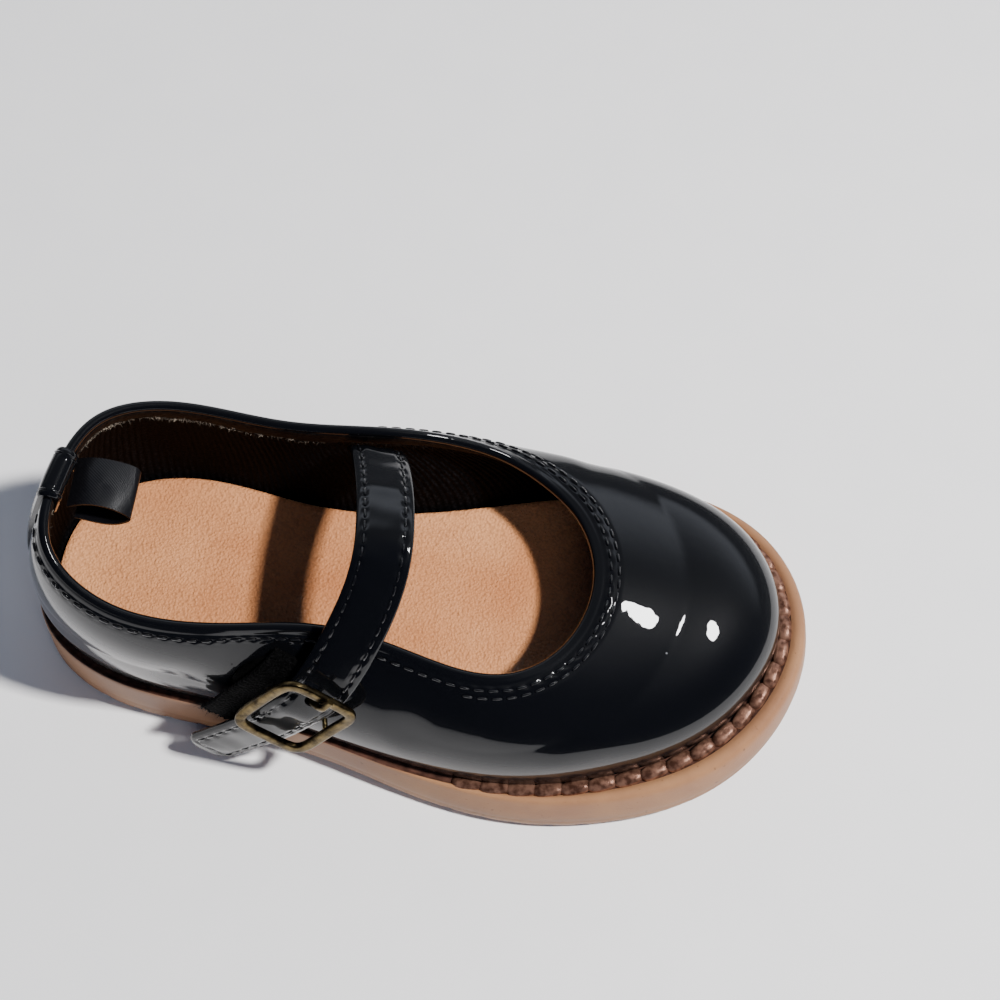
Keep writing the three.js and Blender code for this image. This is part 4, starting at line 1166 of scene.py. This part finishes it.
# Nylon hooks and ribs give a fine matt grain, deeper black than the patent beside it
woven, tree, place = new_material("black woven hook tape")
seam_uv = add(tree, "ShaderNodeUVMap", {"uv_map": "millimetres"})
hooks = add(tree, "ShaderNodeTexVoronoi", {"Scale": 1 / HOOK_PITCH, "voronoi_dimensions": "2D"},
            {"Vector": seam_uv})
lint = add(tree, "ShaderNodeTexNoise", {"Scale": per_metre(0.385), "Detail": 2.0}, {"Vector": place})
tone = add(tree, "ShaderNodeValToRGB", {"stops": ((0.45, "#030303"), (0.8, "#131314"))}, {"Fac": lint})
height = add(tree, "ShaderNodeMath", {"operation": "MULTIPLY_ADD", 1: -1.2},
             {0: hooks.outputs["Distance"], 2: lint})
relief = add(tree, "ShaderNodeBump", {"Strength": 0.6, "Distance": 0.0004}, {"Height": height})
shade(tree, {"Roughness": 0.75, "Specular IOR Level": 0.08}, {"Base Color": tone, "Normal": relief})

tape_s = np.linspace(STRAP_END - TAPE_FROM, STRAP_END - TAPE_TO, 220)
middle, along, face, across = strap_frame(tape_s)
# It runs below the buckle's centre bar and comes up under the strap towards its cut end
under_bar = -(STRAP_THICKNESS / 2 + FEATHER_GAP + CENTRE_BAR + FEATHER_GAP + TAPE_THICKNESS / 2)
rise = np.clip((tape_s - STRAP_END + TAPE_RISES) / TAPE_RISE_RUN, 0, 1)[:, None]
tape_out = under_bar + rise * (CENTRE_BAR + FEATHER_GAP) * 0.9
tape_run = run_along(middle)
at_mm = tape_run[:, None]
w = np.linspace(-1, 1, 41)
# Woven ribs stand across both selvedges; the strip between them is flat
selvedge = np.clip((np.abs(w) - 0.72) / 0.1, 0, 1)
rib = SELVEDGE_RIB * selvedge * (0.5 + 0.5 * np.sin(at_mm * 2 * math.pi / SELVEDGE_PITCH))
ragged = (0.25 * np.sin(9 * w) + 0.3 * np.sin(23 * w + 1)) * np.clip((at_mm - tape_run[-1] + 2) / 2, 0, 1)
aside = (w * TAPE_WIDTH / 2 - TAPE_ASIDE)[None, :, None]
tape_middle = (middle[:, None] + across[:, None] * aside + face[:, None] * (tape_out + rib)[..., None]
               + along[:, None] * ragged[..., None])
tape_uv = np.stack(np.meshgrid(tape_run, w * TAPE_WIDTH / 2, indexing="ij"), -1)
tape_faces = np.tile(face[:, None], (1, len(w), 1))
hook_tape = plate("hook_tape_woven", tape_middle, tape_faces, TAPE_THICKNESS, woven, tape_uv)
wear(hook_tape, "tape_fabric", "hook_tape")

FRAY_ENDS = 90
dice = np.random.default_rng(11)
across_at, out_at = dice.uniform(-1, 1, FRAY_ENDS), dice.uniform(-0.4, 0.4, FRAY_ENDS)
end_lint = (middle[-1] + np.multiply.outer(across_at * TAPE_WIDTH / 2 - TAPE_ASIDE, across[-1])
            + np.multiply.outer(out_at + tape_out[-1, 0], face[-1])
            + np.multiply.outer(dice.uniform(-0.2, 0.6, FRAY_ENDS), along[-1]))
thread_ends("tape_fray", end_lint, 1.6, 0.12, black_lint, "tape_fabric")
# ------------------------------------------------------------------------------------------------
# Buckle: a cast brass frame with round corners and a hidden centre bar, antiqued dark and rubbed
# bright on its edges. The prong comes up through the strap and rests on the frame's upper end.

BUCKLE_WIDTH, BUCKLE_LENGTH, BUCKLE_BAR, BUCKLE_DEPTH = 17.8, 20.2, 2.1, 1.5
FRAME_BOW, PRONG_WIDTH = 0.4, 1.3

# Antiquing gives dark brown hollows, and rubbing leaves the edges a bright yellow metal
brass, tree, place = new_material("antiqued cast brass")
patina = add(tree, "ShaderNodeTexNoise", {"Scale": per_metre(2.38), "Detail": 5.0, "Roughness": 0.65},
             {"Vector": place})
edges = add(tree, "ShaderNodeNewGeometry")
rubbed = add(tree, "ShaderNodeMapRange", {"From Min": 0.54, "From Max": 0.68},
             {"Value": edges.outputs["Pointiness"]})
tone = add(tree, "ShaderNodeValToRGB", {"stops": ((0.36, "#2E2619"), (0.66, "#7C6B49"))}, {"Fac": patina})
bright = add(tree, "ShaderNodeMix", {"data_type": "RGBA", 7: srgb("#C2A567")}, {0: rubbed, 6: tone})
gloss = add(tree, "ShaderNodeMapRange", {"To Min": 0.2, "To Max": 0.42}, {"Value": patina})
relief = add(tree, "ShaderNodeBump", {"Strength": 0.15, "Distance": 0.0002}, {"Height": patina})
shade(tree, {"Metallic": 1.0}, {"Base Color": bright.outputs[2], "Roughness": gloss, "Normal": relief})


def bar(name, path, faces, width, depth, closed=False, segments=16):
    """A brass bar along a path: width across its face, depth along it, with softly squared edges."""
    ahead = np.roll(path, -1, 0) - np.roll(path, 1, 0) if closed else np.gradient(path, axis=0)
    ahead = unit(ahead)
    faces = unit(faces - (faces * ahead).sum(-1, keepdims=True) * ahead)
    sides = np.cross(faces, ahead)
    turn = np.linspace(0, 2 * math.pi, segments, endpoint=False) + math.pi / segments
    a, b = squared(np.cos(turn), 0.55) * width / 2, squared(np.sin(turn), 0.55) * depth / 2
    grid = path[:, None] + sides[:, None] * a[None, :, None] + faces[:, None] * b[None, :, None]
    return skin(name, grid, brass, rows_closed=closed, caps=not closed, sharp=60)


rail_across, rail_along = (BUCKLE_WIDTH - BUCKLE_BAR) / 2, (BUCKLE_LENGTH - BUCKLE_BAR) / 2
frame_end_out = STRAP_THICKNESS / 2 + FEATHER_GAP + BUCKLE_DEPTH / 2
turn = np.linspace(0, 2 * math.pi, 160, endpoint=False)
a, b = rail_across * squared(np.cos(turn), 1 / 3), rail_along * squared(np.sin(turn), 1 / 3)
frame_path = in_buckle(a, b, frame_end_out - FRAME_BOW * (1 - (b / rail_along) ** 2))
buckle = bar("buckle_frame_brass", frame_path, np.tile(buckle_face, (160, 1)), BUCKLE_BAR, BUCKLE_DEPTH,
             closed=True)
wear(buckle, "brass", "buckle_frame")

# The centre bar dips from rail to rail below the strap
rail_out = frame_end_out - FRAME_BOW
bar_out = -(STRAP_THICKNESS / 2 + FEATHER_GAP + CENTRE_BAR / 2)
dip = np.array([(-1, rail_out), (-0.9, rail_out - 0.6), (-0.84, bar_out + 0.3), (-0.74, bar_out),
                (0.74, bar_out), (0.84, bar_out + 0.3), (0.9, rail_out - 0.6), (1, rail_out)])
bar_path = in_buckle(dip[:, 0] * rail_across, 0 * dip[:, 0], dip[:, 1])
centre_bar = bar("buckle_centre_bar", bar_path, np.tile(buckle_along, (len(dip), 1)), CENTRE_BAR, CENTRE_BAR)
wear(centre_bar, "brass")

# The prong's way in mm along the strap and out from it: off the bar, up through the hole, on the frame
over = frame_end_out + BUCKLE_DEPTH / 2 + FEATHER_GAP + PRONG_WIDTH / 2
under = -(STRAP_THICKNESS / 2 + FEATHER_GAP + PRONG_WIDTH / 2)
PRONG_ROUTE = ((-1.4, under), (-3.8, under + 0.1), (-4.8, -0.8), (-5.2, 0.5), (-6.2, 1.8),
               (-8.2, over - 0.25), (-9.6, over), (-10.8, over - 0.1), (-11.3, over - 0.15))
prong_curve = smooth_curve(PRONG_ROUTE, closed=False)(np.linspace(0, len(PRONG_ROUTE) - 1, 60))
prong_path = in_buckle(0 * prong_curve[:, 0], prong_curve[:, 0], prong_curve[:, 1])
prong_faces = np.cross(np.gradient(prong_path, axis=0), np.tile(buckle_across, (60, 1)))
prong = bar("buckle_prong_brass", prong_path, prong_faces, PRONG_WIDTH, PRONG_WIDTH)
wear(prong, "brass", "buckle_prong")


# ------------------------------------------------------------------------------------------------
# Stitching: black polyester thread, lock-stitched 2.2 mm below the collar, in a second row round the
# throat at 3.8 mm, and 1.7 mm inside the edges of strap and heel strip.

STITCH_LENGTH, STITCH_WIDTH = 2.1, 0.5

# Wax gives each stitch a small bright highlight on a deep black
thread, tree, place = new_material("waxed black polyester thread")
ply = add(tree, "ShaderNodeTexNoise", {"Scale": per_metre(0.385), "Detail": 2.0}, {"Vector": place})
tone = add(tree, "ShaderNodeValToRGB", {"stops": ((0, "#050506"), (1, "#101013"))}, {"Fac": ply})
relief = add(tree, "ShaderNodeBump", {"Strength": 0.3, "Distance": 0.0002}, {"Height": ply})
shade(tree, {"Roughness": 0.3, "Coat Weight": 0.8, "Coat Roughness": 0.07},
      {"Base Color": tone, "Normal": relief})


def sew(name, line, faces):
    """A row of thread along a fine line of points."""
    size = (STITCH_LENGTH, STITCH_WIDTH, STITCH_WIDTH)
    wear(stitch_row(name, line, faces, size, THREAD_PITCH, thread), "thread")


# how far below the collar, from and to in sections round the shoe
COLLAR_ROWS = {"collar_stitches": (STITCH_DEPTH, 0.45, 15.55), "throat_stitches": (SECOND_DEPTH, 5.1, 11.3)}
for name, (depth, start, end) in COLLAR_ROWS.items():
    u = np.linspace(start, end, 4000)
    v = below_collar(u, depth)
    sew(name, off_upper(u, v, rounded_over(u, depth)), upper_normal(u, v))

# One row runs up the strap, round its tail and back; the thread lies in it by a quarter of its width
SIDE_STEPS, END_STEPS, THREAD_SUNK = 3000, 200, 0.12
side_s = np.linspace(FROM_UNDER_LINING + 0.1, STRAP_END, SIDE_STEPS)
round_end = np.linspace(0, math.pi, END_STEPS)
row_s = np.concatenate([side_s, np.full(END_STEPS, STRAP_END), side_s[::-1]])
row_side = np.concatenate([np.ones(SIDE_STEPS), np.cos(round_end), -np.ones(SIDE_STEPS)])
row_past = np.concatenate([0 * side_s, np.sin(round_end) * (TAIL_PAST - ROW_IN), 0 * side_s])
middle, along, face, across = strap_frame(row_s)
line = (middle + across * (row_side * (STRAP_WIDTH / 2 - ROW_IN))[:, None] + along * row_past[:, None]
        + face * (STRAP_THICKNESS / 2 - THREAD_SUNK))
sew("strap_stitches", line, face)

for name, column_at in (("heel_strip_outer_stitches", 3), ("heel_strip_inner_stitches", 21)):
    steps = np.linspace(0, STRIP_ALONG - 1, 1500)
    line = strip_middle[column_at] + strip_normals[column_at] * STRIP_THICKNESS / 2
    facing_out = smooth_curve(strip_normals[column_at], closed=False)(steps)
    sew(name, smooth_curve(line, closed=False)(steps), unit(facing_out))
